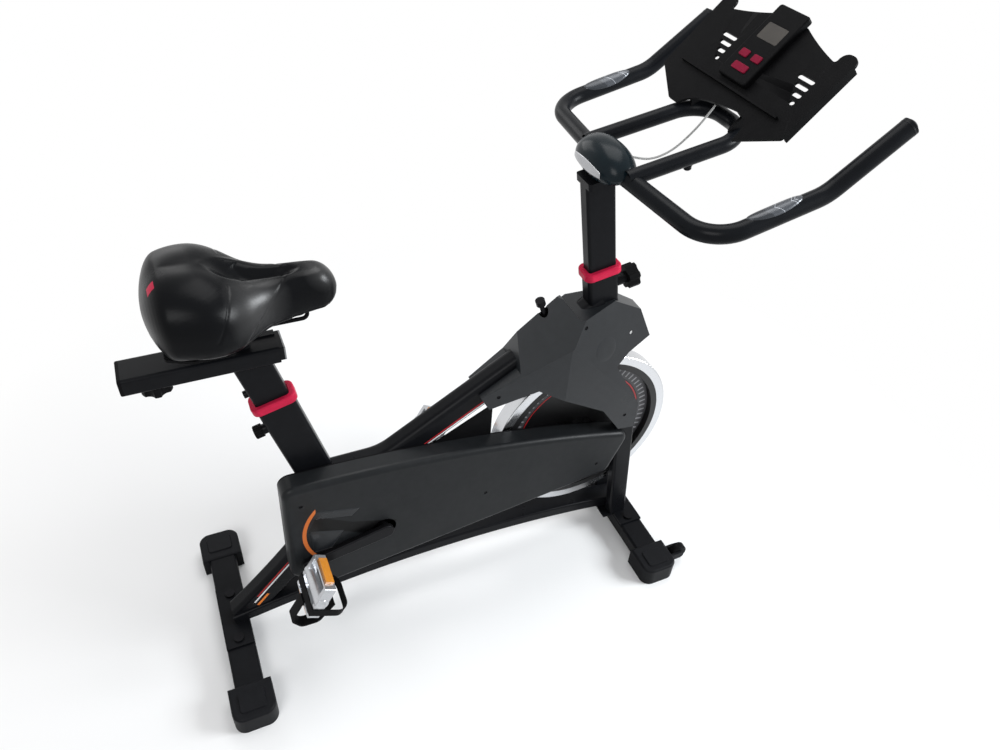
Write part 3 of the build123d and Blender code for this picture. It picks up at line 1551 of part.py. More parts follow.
def bar_cover_block(inset):
    """The cover's outer form with its rounded top or, with an inset, the hollow a wall inside it."""
    with BuildPart() as block:
        with BuildSketch(flange_top.offset(inset)):
            with Locations((bar_ahead, 0)):
                RectangleRounded(
                    bar_cover_length - 2 * inset,
                    bar_cover_width - 2 * inset,
                    bar_cover_round - inset,
                )
        extrude(amount=bar_cover_height - 2 * inset)
        fillet(end_face(faces(), flange_top.z_dir).edges(), radius=bar_cover_edge - inset)
    return block.part


with BuildPart() as handlebar_cover:
    add(bar_cover_block(0.0))
    add(bar_cover_block(bar_cover_wall), mode=Mode.SUBTRACT)
    with BuildSketch(flange_top):
        with Locations((bar_ahead, 0)):
            Rectangle(cradle_length + 2 * cover_gap, cradle_width + 2 * cover_gap)
    extrude(amount=bar_cover_wall, mode=Mode.SUBTRACT)
    with BuildSketch(Plane(origin=wire_start, z_dir=-wire_lead)):
        Circle(wire_boss_dia / 2)
    extrude(amount=wire_boss_height)
    add(bar_room, mode=Mode.SUBTRACT)
    add(loop_room, mode=Mode.SUBTRACT)
write(handlebar_cover, "handlebar_cover")

# Tray on the front loop, with its ledge, side lips, slots and two ribs down to the loop
tray_up = (cos(radians(tray_lean)), 0, sin(radians(tray_lean)))
tray_face = (-sin(radians(tray_lean)), 0, cos(radians(tray_lean)))
tray_plane = Plane(origin=(tray_x, 0, tray_z), x_dir=(0, -1, 0), z_dir=tray_face)


def on_tray(along, below):
    """Side-view point `along` millimetres up the tray and `below` millimetres under its face."""
    x = tray_x + along * tray_up[0] - below * tray_face[0]
    return (x, tray_z + along * tray_up[2] - below * tray_face[2])


bend_across = rib_half - (loop_half - loop_bend)
rib_bar_x = loop_front_x - loop_bend + (loop_bend ** 2 - bend_across ** 2) ** 0.5
loop_slope = (loop_front_z - loop_rear_z) / (loop_front_x - bar_centre_x)
rib_bar_z = loop_front_z + (rib_bar_x - loop_front_x) * loop_slope
with BuildPart() as tray:
    with BuildSketch(tray_plane):
        with BuildLine():
            for side in (-1, 1):
                Polyline(
                    (0, -tray_tail),
                    (side * tray_tail_half, -tray_tail),
                    (side * tray_half, -tray_low),
                    (side * tray_half, tray_top),
                    (side * (tray_half - tray_wing), tray_top),
                    (side * tray_notch_half, tray_notch),
                )
                ThreePointArc(
                    (side * tray_notch_half, tray_notch),
                    (side * tray_dip_half, tray_dip),
                    (side * tray_crown_half, tray_crown),
                )
                Line((side * tray_crown_half, tray_crown), (0, tray_crown))
        make_face()
        corners = [v for v in vertices() if v.Y < tray_notch + tray_corner and abs(v.X) > tray_crown_half]
        fillet(corners, radius=tray_corner)
        tips = [v for v in vertices() if v.Y > tray_top - tray_corner and abs(v.X) > tray_dip_half]
        fillet(tips, radius=tray_tip)
        for end in slot_ends:
            for step in range(slot_count):
                length = slot_short + step * slot_growth
                with Locations((end - length / 2, slot_low + step * slot_pitch)):
                    SlotOverall(length, 2 * slot_half, mode=Mode.SUBTRACT)
    extrude(amount=-tray_thickness)
    with BuildSketch(tray_plane):
        with Locations((0, ledge_up)):
            Rectangle(2 * ledge_half, ledge_thickness, align=(Align.CENTER, Align.MAX))
    extrude(amount=ledge_height)
    with BuildSketch(tray_plane):
        lip_start = tray_corner - tray_low
        lip_end = tray_top - tray_tip
        for side in (-1, 1):
            with Locations((side * (tray_half - ledge_thickness / 2), (lip_start + lip_end) / 2)):
                Rectangle(ledge_thickness, lip_end - lip_start)
    extrude(amount=-tray_thickness - lip_height)
    for side in (-1, 1):
        with BuildSketch(side_plane(side * rib_half + rib_thickness / 2)):
            with BuildLine():
                Polyline(
                    on_tray(-rib_rear, tray_thickness / 2),
                    on_tray(rib_front, tray_thickness / 2),
                    (rib_bar_x + rib_foot / 2, rib_bar_z),
                    (rib_bar_x - rib_foot / 2, rib_bar_z),
                    close=True,
                )
            make_face()
        extrude(amount=rib_thickness)
    with BuildSketch(Plane(origin=wire_end, z_dir=wire_tail)):
        Circle(wire_boss_dia / 2)
    extrude(amount=wire_boss_height)
    add(loop_room, mode=Mode.SUBTRACT)
    tray_body = tray.part.solids().sort_by(SortBy.VOLUME)[-1]
with BuildPart() as tray:
    add(tray_body)
write(tray, "tray")

# Console on the tray, with its lens and three keys
console_top = tray_plane.offset(console_height)
keys = (
    ("button_right", key_spread, key_row, key_width),
    ("button_left", -key_spread, key_row, key_width),
    ("button_wide", 0.0, key_low_row, key_wide),
)
with BuildPart() as console_case:
    with BuildSketch(tray_plane):
        with Locations((0, console_start + console_length / 2)):
            RectangleRounded(console_width, console_length, console_round)
    extrude(amount=console_height)
    fillet(end_face(faces(), tray_face).edges(), radius=console_round / 2)
    with BuildSketch(tray_plane):
        with Locations((0, console_start + console_wall)):
            hollow_length = tray_notch - console_start - 3 * console_wall
            Rectangle(console_width - 2 * console_wall, hollow_length, align=(Align.CENTER, Align.MIN))
    extrude(amount=console_height - console_wall - lens_depth, mode=Mode.SUBTRACT)
    with BuildSketch(console_top):
        with Locations((0, lens_centre)):
            RectangleRounded(lens_width + 2 * seat_gap, lens_length + 2 * seat_gap, console_round / 2)
    extrude(amount=-lens_depth, mode=Mode.SUBTRACT)
    with BuildSketch(console_top):
        for name, across, up, width in keys:
            with Locations((across, up)):
                RectangleRounded(width + 2 * button_gap, key_length + 2 * button_gap, key_corner + button_gap)
    extrude(amount=-console_height, mode=Mode.SUBTRACT)
write(console_case, "console_case")

with BuildPart() as console_lens:
    with BuildSketch(console_top):
        with Locations((0, lens_centre)):
            RectangleRounded(lens_width, lens_length, console_round / 2)
    extrude(amount=-lens_depth)
write(console_lens, "console_lens")

for name, across, up, width in keys:
    with BuildPart() as button:
        with BuildSketch(console_top.offset(-button_depth)):
            with Locations((across, up)):
                RectangleRounded(width, key_length, key_corner)
        extrude(amount=button_depth + button_proud)
        fillet(end_face(faces(), tray_face).edges(), radius=button_proud / 2)
    write(button, name)

# Sensor wire, held at the cover and at the tray and sagging between them
wire_points = [Vector(x, 0, z) for x, z in wire_route]
wire_bends = []
for before, here, after in zip(wire_points, wire_points[1:], wire_points[2:]):
    turn = (here - before).get_angle(after - here)
    shorter = min((here - before).length, (after - here).length)
    wire_bends.append(wire_run_share * shorter / tan(radians(turn / 2)))
print("wire bends", [round(bend, 1) for bend in wire_bends])
with BuildPart() as sensor_wire:
    add(round_tube(wire_points, wire_bends, wire_dia / 2))
write(sensor_wire, "sensor_wire")
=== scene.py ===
"""Looks of an indoor cycling bike: finishes on every solid, a padded saddle, moulded details and a sensor wire."""
import math

import bmesh
import bpy
import numpy as np
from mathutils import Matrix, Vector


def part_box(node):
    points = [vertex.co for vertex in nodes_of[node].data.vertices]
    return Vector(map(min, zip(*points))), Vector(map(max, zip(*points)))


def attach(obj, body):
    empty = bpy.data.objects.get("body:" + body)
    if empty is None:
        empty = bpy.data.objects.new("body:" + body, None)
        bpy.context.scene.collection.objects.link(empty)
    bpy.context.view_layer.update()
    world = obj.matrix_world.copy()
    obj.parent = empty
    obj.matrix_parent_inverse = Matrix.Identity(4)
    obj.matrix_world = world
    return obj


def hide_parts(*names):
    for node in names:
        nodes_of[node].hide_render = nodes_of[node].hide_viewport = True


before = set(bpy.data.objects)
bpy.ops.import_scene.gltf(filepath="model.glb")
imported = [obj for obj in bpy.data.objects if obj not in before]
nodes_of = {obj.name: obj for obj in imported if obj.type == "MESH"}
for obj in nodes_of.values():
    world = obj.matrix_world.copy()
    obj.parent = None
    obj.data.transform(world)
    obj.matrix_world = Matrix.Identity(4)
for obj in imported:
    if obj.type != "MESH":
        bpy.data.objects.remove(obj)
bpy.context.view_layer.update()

# Camera, as the photograph was taken: place in metres, turns in degrees, lens in millimetres
EYE = (-0.4896, -1.0948, 1.6760)
EYE_YAW = 26.65
EYE_PITCH = 41.49
EYE_ROLL = 4.56
EYE_LENS = 28.47
SENSOR = 36.0

# Places on the bike, in metres, and leans in degrees; a pair is x and z in the side view
FLYWHEEL = (0.275, 0.0, 0.367)
CRANK = (-0.221, 0.0, 0.300)
CRANK_THROW = 0.170
CRANK_DROP = 12.0
BAR_RADIUS = 0.016
BAR_HALF = 0.273
BAR_TIP = (0.609, 1.180)
BAR_KINK = (0.481, 1.082)
BAR_CORNER = (0.271, 1.031)
TIP_LENGTH = 0.014
TIP_INSET = 0.004
TIP_SWELL = 0.0003
HEAD_LEAN = 10.5
TOP_SLOPE = 31.6
TOP_KINK = (-0.195, 0.436)
STRUT_FOOT = (-0.542, 0.066)
STRUT_HEAD = (-0.3054, 0.335)
TRAY = (0.461, 1.151)
TRAY_LEAN = 45.0
NOTCH_UP = -0.031
NOTCH_DEPTH = 0.06
NOTCH_HALF = 0.086
NOTCH_SLANT = 0.2
NOTCH_SIDE = -0.012
NOTCH_LEVELS = (-0.017, 0.02)
COVER_FACE = 0.069
COVER_ARC = (-0.269, 0.0, 0.3364)
COVER_ARC_RADIUS = 0.1188
COVER_ARC_WIDTH = 0.008
# Painted shade: the way along the near-black band in the recess behind the crank
GROOVE_SHADE_WAY = (-0.893, 0.4496)
PANEL_LIFT = 0.0016
PANEL_SINK = 0.0003
PEDAL_END = 0.181
GUARD_INLAY = (0.2737, -0.0530, 0.6433)
GUARD_FACET = (0.2302, -0.9497, 0.2124)
GUARD_SCREW = (0.344, 0.0, 0.655)
INLAY_RADIUS = 0.030
INLAY_LIFT = 0.0009
INLAY_SINK = 0.0002
LOOP_BOLT = (0.354, -0.075, 1.0556)
LOOP_BOLT_WAY = (0.19, 0.0, -0.98)
CAP_FOOT = (0.2200, 1.0298)
CAP_AHEAD = 0.0158
PAD_HALF = 0.052
PAD_LIFT = 0.0034
PAD_SINK = 0.0006
PAD_SPREAD = 62.0
PAD_TURN = 14.0
SADDLE_SEAT = 0.8706
SADDLE_SWELL = 0.003
WIRE_DIAMETER = 0.004
WIRE_ROUTE = [
    (0.282, 1.048), (0.308, 1.038), (0.340, 1.035), (0.376, 1.047), (0.406, 1.072), (0.430, 1.098), (0.4469, 1.1227),
]

# Saddle sections from rear to nose: x, half-width, crest, underside and depth of the middle hollow
SADDLE_ROWS = [
    (-0.5645, 0.083, 0.966, 0.866, 0.000), (-0.545, 0.094, 0.977, 0.859, 0.001), (-0.505, 0.107, 0.986, 0.854, 0.002),
    (-0.460, 0.109, 0.979, 0.852, 0.008), (-0.435, 0.098, 0.967, 0.852, 0.022), (-0.408, 0.073, 0.954, 0.853, 0.026),
    (-0.380, 0.053, 0.947, 0.856, 0.023), (-0.350, 0.043, 0.944, 0.858, 0.019), (-0.320, 0.037, 0.943, 0.860, 0.006),
    (-0.300, 0.034, 0.942, 0.861, 0.001), (-0.2605, 0.031, 0.936, 0.863, 0.000),
]
SADDLE_HOLLOW = 0.0175
SADDLE_TAIL = 0.036
SADDLE_NOSE = 0.034

# Middles of the saddle's polished patches
POLISH_FLANK = (-0.400, -0.060, 0.920)
POLISH_NOSE = (-0.278, -0.016, 0.938)

# Saddle seams: a point on the line in the side view, and how far back it runs for each metre down
SEAM_NOSE = (-0.338, 0.948)
SEAM_NOSE_RAKE = 1.15
SEAM_FLANK = (-0.436, 0.958)
SEAM_FLANK_RAKE = 0.55


# Materials
class Finish:
    """A procedural material: plain numbers sit on the shader's sockets, patterns are nodes on Object coordinates."""

    def __init__(self, name, colour, rough, metal=0.0, coat=0.0, gloss=0.5):
        self.material = bpy.data.materials.new(name)
        self.material.use_nodes = True
        self.tree = self.material.node_tree
        self.shader = self.tree.nodes["Principled BSDF"]
        self.shader.inputs["Base Color"].default_value = (*colour, 1.0)
        self.shader.inputs["Roughness"].default_value = rough
        self.shader.inputs["Metallic"].default_value = metal
        self.shader.inputs["Coat Weight"].default_value = coat
        self.shader.inputs["Specular IOR Level"].default_value = gloss
        self.colour = (*colour, 1.0)
        self.painted = None
        self.normal = None
        self.place = self.tree.nodes.new("ShaderNodeTexCoord").outputs["Object"]

    def put(self, kind, **settings):
        """Add a node with its settings."""
        node = self.tree.nodes.new(kind)
        for key, value in settings.items():
            setattr(node, key, value)
        return node

    def link(self, value, socket):
        """Join an output to a socket, or set a plain number on it."""
        if isinstance(value, bpy.types.NodeSocket):
            self.tree.links.new(value, socket)
        else:
            socket.default_value = value

    def calc(self, kind, *values):
        """One Math node of the given operation."""
        node = self.put("ShaderNodeMath", operation=kind)
        for value, socket in zip(values, node.inputs):
            self.link(value, socket)
        return node.outputs[0]

    def axis(self, direction, origin=(0.0, 0.0, 0.0)):
        """Distance of a point along a direction from an origin."""
        shift = self.put("ShaderNodeVectorMath", operation="SUBTRACT")
        self.link(self.place, shift.inputs[0])
        shift.inputs[1].default_value = origin
        dot = self.put("ShaderNodeVectorMath", operation="DOT_PRODUCT")
        self.link(shift.outputs[0], dot.inputs[0])
        dot.inputs[1].default_value = direction
        return dot.outputs["Value"]

    def radius(self, centre, keep=(1.0, 0.0, 1.0)):
        """Distance of a point from a centre over the axes that keep picks; x and z give it from a line along y."""
        shift = self.put("ShaderNodeVectorMath", operation="SUBTRACT")
        self.link(self.place, shift.inputs[0])
        shift.inputs[1].default_value = centre
        flat = self.put("ShaderNodeVectorMath", operation="MULTIPLY")
        self.link(shift.outputs[0], flat.inputs[0])
        flat.inputs[1].default_value = keep
        length = self.put("ShaderNodeVectorMath", operation="LENGTH")
        self.link(flat.outputs[0], length.inputs[0])
        return length.outputs["Value"]

    def band(self, value, low, high):
        """1 where a value lies between two limits, else 0."""
        return self.calc("COMPARE", value, (low + high) / 2, (high - low) / 2)

    def both(self, *masks):
        """Product of masks."""
        result = masks[0]
        for mask in masks[1:]:
            result = self.calc("MULTIPLY", result, mask)
        return result

    def noise(self, scale, detail=3.0, stretch=None):
        """Noise in object space, drawn out along an axis by a stretch."""
        place = self.place
        if stretch:
            mapping = self.put("ShaderNodeMapping")
            self.link(place, mapping.inputs["Vector"])
            mapping.inputs["Scale"].default_value = stretch
            place = mapping.outputs["Vector"]
        node = self.put("ShaderNodeTexNoise")
        self.link(place, node.inputs["Vector"])
        node.inputs["Scale"].default_value = scale
        node.inputs["Detail"].default_value = detail
        return node.outputs["Fac"]

    def spread(self, value, low, high, start=0.3, end=0.7):
        """Map a value from one range, start to end, onto another, low to high."""
        node = self.put("ShaderNodeMapRange")
        self.link(value, node.inputs["Value"])
        node.inputs["From Min"].default_value = start
        node.inputs["From Max"].default_value = end
        node.inputs["To Min"].default_value = low
        node.inputs["To Max"].default_value = high
        return node.outputs["Result"]

    def paint(self, mask, colour):
        """Lay a colour over what is painted so far where the mask is 1."""
        node = self.put("ShaderNodeMix", data_type="RGBA")
        self.link(mask, node.inputs["Factor"])
        if self.painted is None:
            node.inputs[6].default_value = self.colour
        else:
            self.link(self.painted, node.inputs[6])
        node.inputs[7].default_value = (*colour, 1.0)
        self.painted = node.outputs[2]
        self.link(self.painted, self.shader.inputs["Base Color"])

    def choose(self, socket, mask, off, on):
        """Set a shader socket to one of two values by a mask."""
        value = self.spread(mask, off, on, 0.0, 1.0)
        self.link(value, self.shader.inputs[socket])

    def bump(self, value, depth):
        """Raise the surface by a height times a depth in metres."""
        node = self.put("ShaderNodeBump")
        node.inputs["Distance"].default_value = depth
        self.link(value, node.inputs["Height"])
        if self.normal is not None:
            self.link(self.normal, node.inputs["Normal"])
        self.normal = node.outputs["Normal"]
        self.link(self.normal, self.shader.inputs["Normal"])


def grained(name, colour, rough, grain=900.0, depth=0.00004, metal=0.0, wear=0.25, gloss=0.07):
    """A coat or moulding: fine grain in the bump, broad mottling in roughness and colour."""
    look = Finish(name, colour, rough, metal, gloss=gloss)
    look.bump(look.noise(grain, 2.0), depth)
    broad = look.noise(9.0, 4.0)
    look.link(look.spread(broad, rough * (1 - wear), min(1.0, rough * (1 + wear))), look.shader.inputs["Roughness"])
    lighter = tuple(min(1.0, 1.6 * c + 0.001) for c in colour)
    look.paint(look.spread(look.noise(60.0, 5.0), 0.0, 0.35), lighter)
    return look


def brushed(name, colour, rough, stretch, metal=1.0):
    """Metal with fine lines drawn out along one axis."""
    look = Finish(name, colour, rough, metal)
    lines = look.noise(40.0, 4.0, stretch)
    look.bump(lines, 0.00002)
    look.link(look.spread(lines, rough * 0.75, rough * 1.3), look.shader.inputs["Roughness"])
    look.paint(look.spread(look.noise(25.0, 3.0), 0.0, 0.3), tuple(c * 0.6 for c in colour))
    return look


def powder_coat(name="powder_coat"):
    """Satin black powder coat of the frame tubes."""
    return grained(name, (0.0042, 0.0045, 0.0055), 0.32, 1400.0, 0.000012)


def top_tube_paint():
    """Powder coat with two plain lines, white and red, along the lower edge of the near side."""
    look = powder_coat("top_tube_paint")
    slope = math.radians(TOP_SLOPE)
    origin = (TOP_KINK[0], 0.0, TOP_KINK[1])
    along = look.axis((math.cos(slope), 0.0, math.sin(slope)), origin)
    up = look.axis((-math.sin(slope), 0.0, math.cos(slope)), origin)
    near = look.band(look.axis((0.0, 1.0, 0.0)), -0.03, -0.0205)
    run = look.band(along, 0.055, 0.335)
    look.paint(look.both(near, run, look.band(up, -0.0205, -0.0165)), (0.75, 0.75, 0.76))
    look.paint(look.both(near, look.band(along, 0.02, 0.24), look.band(up, -0.0145, -0.0115)), (0.42, 0.02, 0.025))
    chevron = look.calc("ADD", along, look.calc("MULTIPLY", up, -1.4))
    look.paint(
        look.both(near, look.band(chevron, 0.352, 0.362), look.band(up, -0.0205, 0.014)), (0.75, 0.75, 0.76)
    )
    return look


def strut_paint():
    """Powder coat with a white and a red line and a small orange mark on the strut's near side."""
    look = powder_coat("strut_paint")
    rise = math.atan2(STRUT_HEAD[1] - STRUT_FOOT[1], STRUT_HEAD[0] - STRUT_FOOT[0])
    origin = (STRUT_FOOT[0], 0.0, STRUT_FOOT[1])
    along = look.axis((math.cos(rise), 0.0, math.sin(rise)), origin)
    up = look.axis((-math.sin(rise), 0.0, math.cos(rise)), origin)
    near = look.band(look.axis((0.0, 1.0, 0.0)), -0.03, -0.0185)
    look.paint(look.both(near, look.band(along, 0.05, 0.28), look.band(up, 0.001, 0.005)), (0.72, 0.72, 0.73))
    look.paint(look.both(near, look.band(along, 0.07, 0.26), look.band(up, 0.0075, 0.0105)), (0.45, 0.02, 0.02))
    look.paint(look.both(near, look.band(along, 0.045, 0.085), look.band(up, -0.012, -0.006)), (0.75, 0.2, 0.03))
    return look


def cover_moulding():
    """Satin black moulding of the belt cover with painted shade in the recess and a thin orange arc, both behind the
    crank.
    """
    look = grained("cover_moulding", (0.0085, 0.0094, 0.0104), 0.38, 700.0, 0.00002, gloss=0.13)
    off_ring = look.calc("SUBTRACT", look.radius(COVER_ARC), COVER_ARC_RADIUS)
    ring = look.band(off_ring, -COVER_ARC_WIDTH / 2, COVER_ARC_WIDTH / 2)
    behind = look.band(look.axis((1.0, 0.0, 0.0)), -0.4, -0.3585)
    near = look.band(look.axis((0.0, 1.0, 0.0)), -0.075, -0.066)
    # Painted shade: the recess behind the crank is coloured near black where shade falls in it
    along = look.axis((GROOVE_SHADE_WAY[0], 0.0, GROOVE_SHADE_WAY[1]), CRANK)
    across = look.calc("ABSOLUTE", look.axis((GROOVE_SHADE_WAY[1], 0.0, -GROOVE_SHADE_WAY[0]), CRANK))
    from_waist = look.calc("ABSOLUTE", look.calc("SUBTRACT", along, 0.08))
    waist = look.calc("ADD", look.calc("MULTIPLY", from_waist, 0.12), 0.014)
    groove_shade = look.both(look.band(along, -0.018, 0.166), look.calc("LESS_THAN", across, waist), near)
    look.paint(groove_shade, (0.0014, 0.0014, 0.0016))
    look.paint(look.both(ring, behind, near), (0.5, 0.13, 0.03))
    return look


def turned_wheel():
    """Flywheel: bright turned rim, black ring, grey ring with plain ticks, thin red line, black web."""
    look = Finish("turned_wheel", (0.005, 0.005, 0.0056), 0.4, gloss=0.32)
    r = look.radius(FLYWHEEL)
    rings = look.put("ShaderNodeTexNoise")
    line = look.put("ShaderNodeCombineXYZ")
    look.link(r, line.inputs["X"])
    look.link(line.outputs["Vector"], rings.inputs["Vector"])
    rings.inputs["Scale"].default_value = 900.0
    rim = look.band(r, 0.2, 0.24)
    look.paint(rim, (0.62, 0.63, 0.65))
    grey = look.band(r, 0.158, 0.184)
    look.paint(grey, (0.07, 0.07, 0.075))
    turn = look.calc(
        "ARCTAN2", look.axis((0.0, 0.0, 1.0), FLYWHEEL), look.axis((1.0, 0.0, 0.0), FLYWHEEL)
    )
    tick = look.calc("LESS_THAN", look.calc("FRACT", look.calc("MULTIPLY", turn, 72 / (2 * math.pi))), 0.28)
    look.paint(look.both(tick, look.band(r, 0.163, 0.178)), (0.38, 0.38, 0.4))
    look.paint(look.band(r, 0.1525, 0.1555), (0.45, 0.02, 0.025))
    look.choose("Metallic", rim, 0.0, 1.0)
    look.choose("Roughness", rim, 0.42, 0.2)
    look.bump(rings.outputs["Fac"], 0.00003)
    return look


def vinyl():
    """Black vinyl with a leather grain and soft creases, polished at the near flank and nose, a red tag at the rear."""
    look = Finish("saddle_vinyl", (0.0026, 0.0029, 0.0036), 0.28, gloss=0.07)
    look.shader.inputs["Coat Roughness"].default_value = 0.4
    every_axis = (1.0, 1.0, 1.0)
    flank = look.spread(look.radius(POLISH_FLANK, every_axis), 1.0, 0.0, 0.012, 0.065)
    nose = look.spread(look.radius(POLISH_NOSE, every_axis), 0.8, 0.0, 0.006, 0.040)
    look.link(look.calc("MAXIMUM", flank, nose), look.shader.inputs["Coat Weight"])
    cells = look.put("ShaderNodeTexVoronoi", feature="DISTANCE_TO_EDGE")
    look.link(look.place, cells.inputs["Vector"])
    cells.inputs["Scale"].default_value = 700.0
    look.bump(cells.outputs["Distance"], 0.00005)
    look.bump(look.noise(35.0, 3.0), 0.00015)
    look.link(look.spread(look.noise(14.0, 4.0), 0.26, 0.34), look.shader.inputs["Roughness"])
    tag = look.both(
        look.band(look.axis((1.0, 0.0, 0.0)), -0.547, -0.535),
        look.band(look.axis((0.0, 1.0, 0.0)), -0.041, -0.025),
        look.band(look.axis((0.0, 0.0, 1.0)), 0.930, 0.990),
    )
    look.paint(tag, (0.5, 0.02, 0.06))
    return look


def amber():
    """Amber reflector with a grid of small prisms."""
    look = Finish("amber_prisms", (0.6, 0.235, 0.02), 0.18, coat=0.6)
    grid = look.put("ShaderNodeTexVoronoi", feature="F1", distance="CHEBYCHEV")
    look.link(look.place, grid.inputs["Vector"])
    grid.inputs["Scale"].default_value = 320.0
    grid.inputs["Randomness"].default_value = 0.0
    look.bump(grid.outputs["Distance"], 0.0008)
    look.paint(look.spread(grid.outputs["Distance"], 0.0, 0.45, 0.2, 0.8), (0.55, 0.12, 0.0))
    return look


def pad_face():
    """Grey touch pad with pale chevron lines across it."""
    look = Finish("pad_face", (0.05, 0.056, 0.066), 0.28, 0.25)
    look.bump(look.noise(300.0, 3.0), 0.00008)
    rise = math.atan2(BAR_KINK[1] - BAR_CORNER[1], BAR_KINK[0] - BAR_CORNER[0])
    low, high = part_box("sensor_pads")
    middle = (float(low[0] + high[0]) / 2, 0.0, float(low[2] + high[2]) / 2)
    along = look.axis((math.cos(rise), 0.0, math.sin(rise)), middle)
    across = look.calc("SUBTRACT", look.calc("ABSOLUTE", look.axis((0.0, 1.0, 0.0))), BAR_HALF)
    point = look.calc("SUBTRACT", along, look.calc("ABSOLUTE", look.calc("MULTIPLY", across, 0.9)))
    for start, width in ((-0.006, 0.0012), (0.0245, 0.0016), (0.031, 0.0012)):
        look.paint(look.band(point, start, start + width), (0.34, 0.36, 0.39))
    look.paint(look.band(point, -0.2, -0.024), (0.022, 0.026, 0.032))
    look.link(look.spread(look.noise(40.0, 3.0), 0.22, 0.36), look.shader.inputs["Roughness"])
    return look


def slider_finish():
    """Slider: black coat with a bare steel front end."""
    look = grained("slider_finish", (0.006, 0.006, 0.007), 0.34, 900.0, 0.00003)
    front = look.band(look.axis((1.0, 0.0, 0.0)), -0.3645, -0.3)
    look.paint(front, (0.2, 0.205, 0.21))
    look.choose("Metallic", front, 0.0, 0.6)
    return look


def display():
    """Brown-grey display window with faint plain segments."""
    look = Finish("display_window", (0.03, 0.026, 0.022), 0.3, coat=0.1, gloss=0.3)
    look.paint(look.spread(look.noise(30.0, 2.0), 0.0, 0.5), (0.055, 0.048, 0.04))
    return look


def fastener_finish():
    """Blackened steel of bolts and screws, with bare bright screws at the guard's nose."""
    look = grained("black_plate", (0.008, 0.008, 0.009), 0.32, 900.0, 0.00001, metal=0.6)
    look.paint(look.calc("LESS_THAN", look.radius(GUARD_SCREW), 0.009), (0.6, 0.6, 0.6))
    return look


def finish_all():
    """Give every solid its finish."""
    coat = powder_coat().material
    mould = grained("black_moulding", (0.0036, 0.0036, 0.004), 0.46, 600.0, 0.00002, gloss=0.035).material
    rubber = grained("foot_rubber", (0.0065, 0.0068, 0.008), 0.5, 450.0, 0.00003).material
    dipped = grained("bar_dip", (0.0045, 0.0052, 0.0066), 0.3, 500.0, 0.00002).material
    guard = grained("guard_moulding", (0.0098, 0.0112, 0.013), 0.33, 800.0, 0.000015, gloss=0.27).material
    steel = brushed("plated_steel", (0.45, 0.455, 0.47), 0.3, (1.0, 1.0, 30.0)).material
    black_steel = grained("black_steel", (0.008, 0.008, 0.009), 0.32, 900.0, 0.00003, metal=0.6).material
    alloy = brushed("cast_alloy", (0.55, 0.56, 0.58), 0.32, (1.0, 24.0, 1.0)).material
    crimson = grained("collar_crimson", (0.42, 0.012, 0.045), 0.36, 500.0, 0.00005, wear=0.15).material
    key_red = grained("key_red", (0.17, 0.005, 0.024), 0.4, 400.0, 0.00005, wear=0.15).material
    pad = brushed("pad_grey", (0.16, 0.17, 0.19), 0.3, (30.0, 1.0, 1.0), metal=0.5).material
    felt = grained("pressed_felt", (0.16, 0.14, 0.11), 0.95, 260.0, 0.0006).material
    belt = grained("belt_rubber", (0.012, 0.012, 0.012), 0.7, 300.0, 0.0002).material
    deep_blue = grained("bar_cover_moulding", (0.004, 0.0085, 0.0115), 0.26, 700.0, 0.00001, gloss=0.12).material
    looks = {
        "rear_stabilizer": coat, "front_stabilizer": coat, "lower_beam": coat, "seat_tube": coat,
        "rear_strut": strut_paint().material, "head_tube": coat, "fork_leg_right": coat, "fork_leg_left": coat,
        "top_tube": top_tube_paint().material, "seat_post": coat, "seat_rail": coat, "handlebar_post": coat,
        "saddle_slider": slider_finish().material, "rear_feet": rubber, "front_feet": rubber,
        "frame_fasteners": fastener_finish().material,
        "transport_wheel_right": mould, "transport_wheel_left": mould, "crank_spindle": black_steel,
        "crank_arm_right": black_steel, "crank_arm_left": black_steel, "pedal_axles": steel, "flywheel_axle": steel,
        "crank_bearings": steel, "hub_bearings": steel, "crank_pulley": mould, "flywheel_pulley": mould,
        "pedal_right": alloy, "pedal_left": alloy, "pedal_right_toe_cage": mould, "pedal_left_toe_cage": mould,
        "flywheel": turned_wheel().material, "drive_belt": belt, "belt_cover_outer": cover_moulding().material,
        "belt_cover_inner": mould, "guard_right": guard, "guard_left": guard, "post_collars": crimson,
        "rail_knob": mould, "head_knob": mould, "seat_pin_knob": mould, "rail_end_cap": mould,
        "tension_screw": black_steel, "brake_shoe": felt, "saddle_clamp": black_steel, "saddle_pan": mould,
        "saddle_cushion": mould, "handlebar": dipped, "loop_bar": dipped, "sensor_pads": pad,
        "handlebar_cover": deep_blue, "tray": mould, "console_case": mould, "console_lens": display().material,
        "button_right": key_red, "button_left": key_red, "button_wide": key_red, "sensor_wire": rubber,
    }
    prisms = amber().material
    looks["pedal_right_reflectors"] = prisms
    looks["pedal_left_reflectors"] = prisms
    for name, material in looks.items():
        mesh = nodes_of[name].data
        mesh.materials.clear()
        mesh.materials.append(material)
    return looks


# Meshes
def grid_mesh(name, points, close_v=False):
    """Mesh of a grid of points (rows u, columns v, xyz); where v is closed, the last column joins the first."""
    rows, columns = points.shape[:2]
    index = np.arange(rows * columns).reshape(rows, columns)
    if close_v:
        index = np.hstack([index, index[:, :1]])
    quads = np.stack([index[:-1, :-1], index[:-1, 1:], index[1:, 1:], index[1:, :-1]], axis=-1).reshape(-1, 4)
    mesh = bpy.data.meshes.new(name)
    mesh.from_pydata(points.reshape(-1, 3).tolist(), [], quads.tolist())
    piece = bpy.data.objects.new(name, mesh)
    bpy.context.collection.objects.link(piece)
    return piece


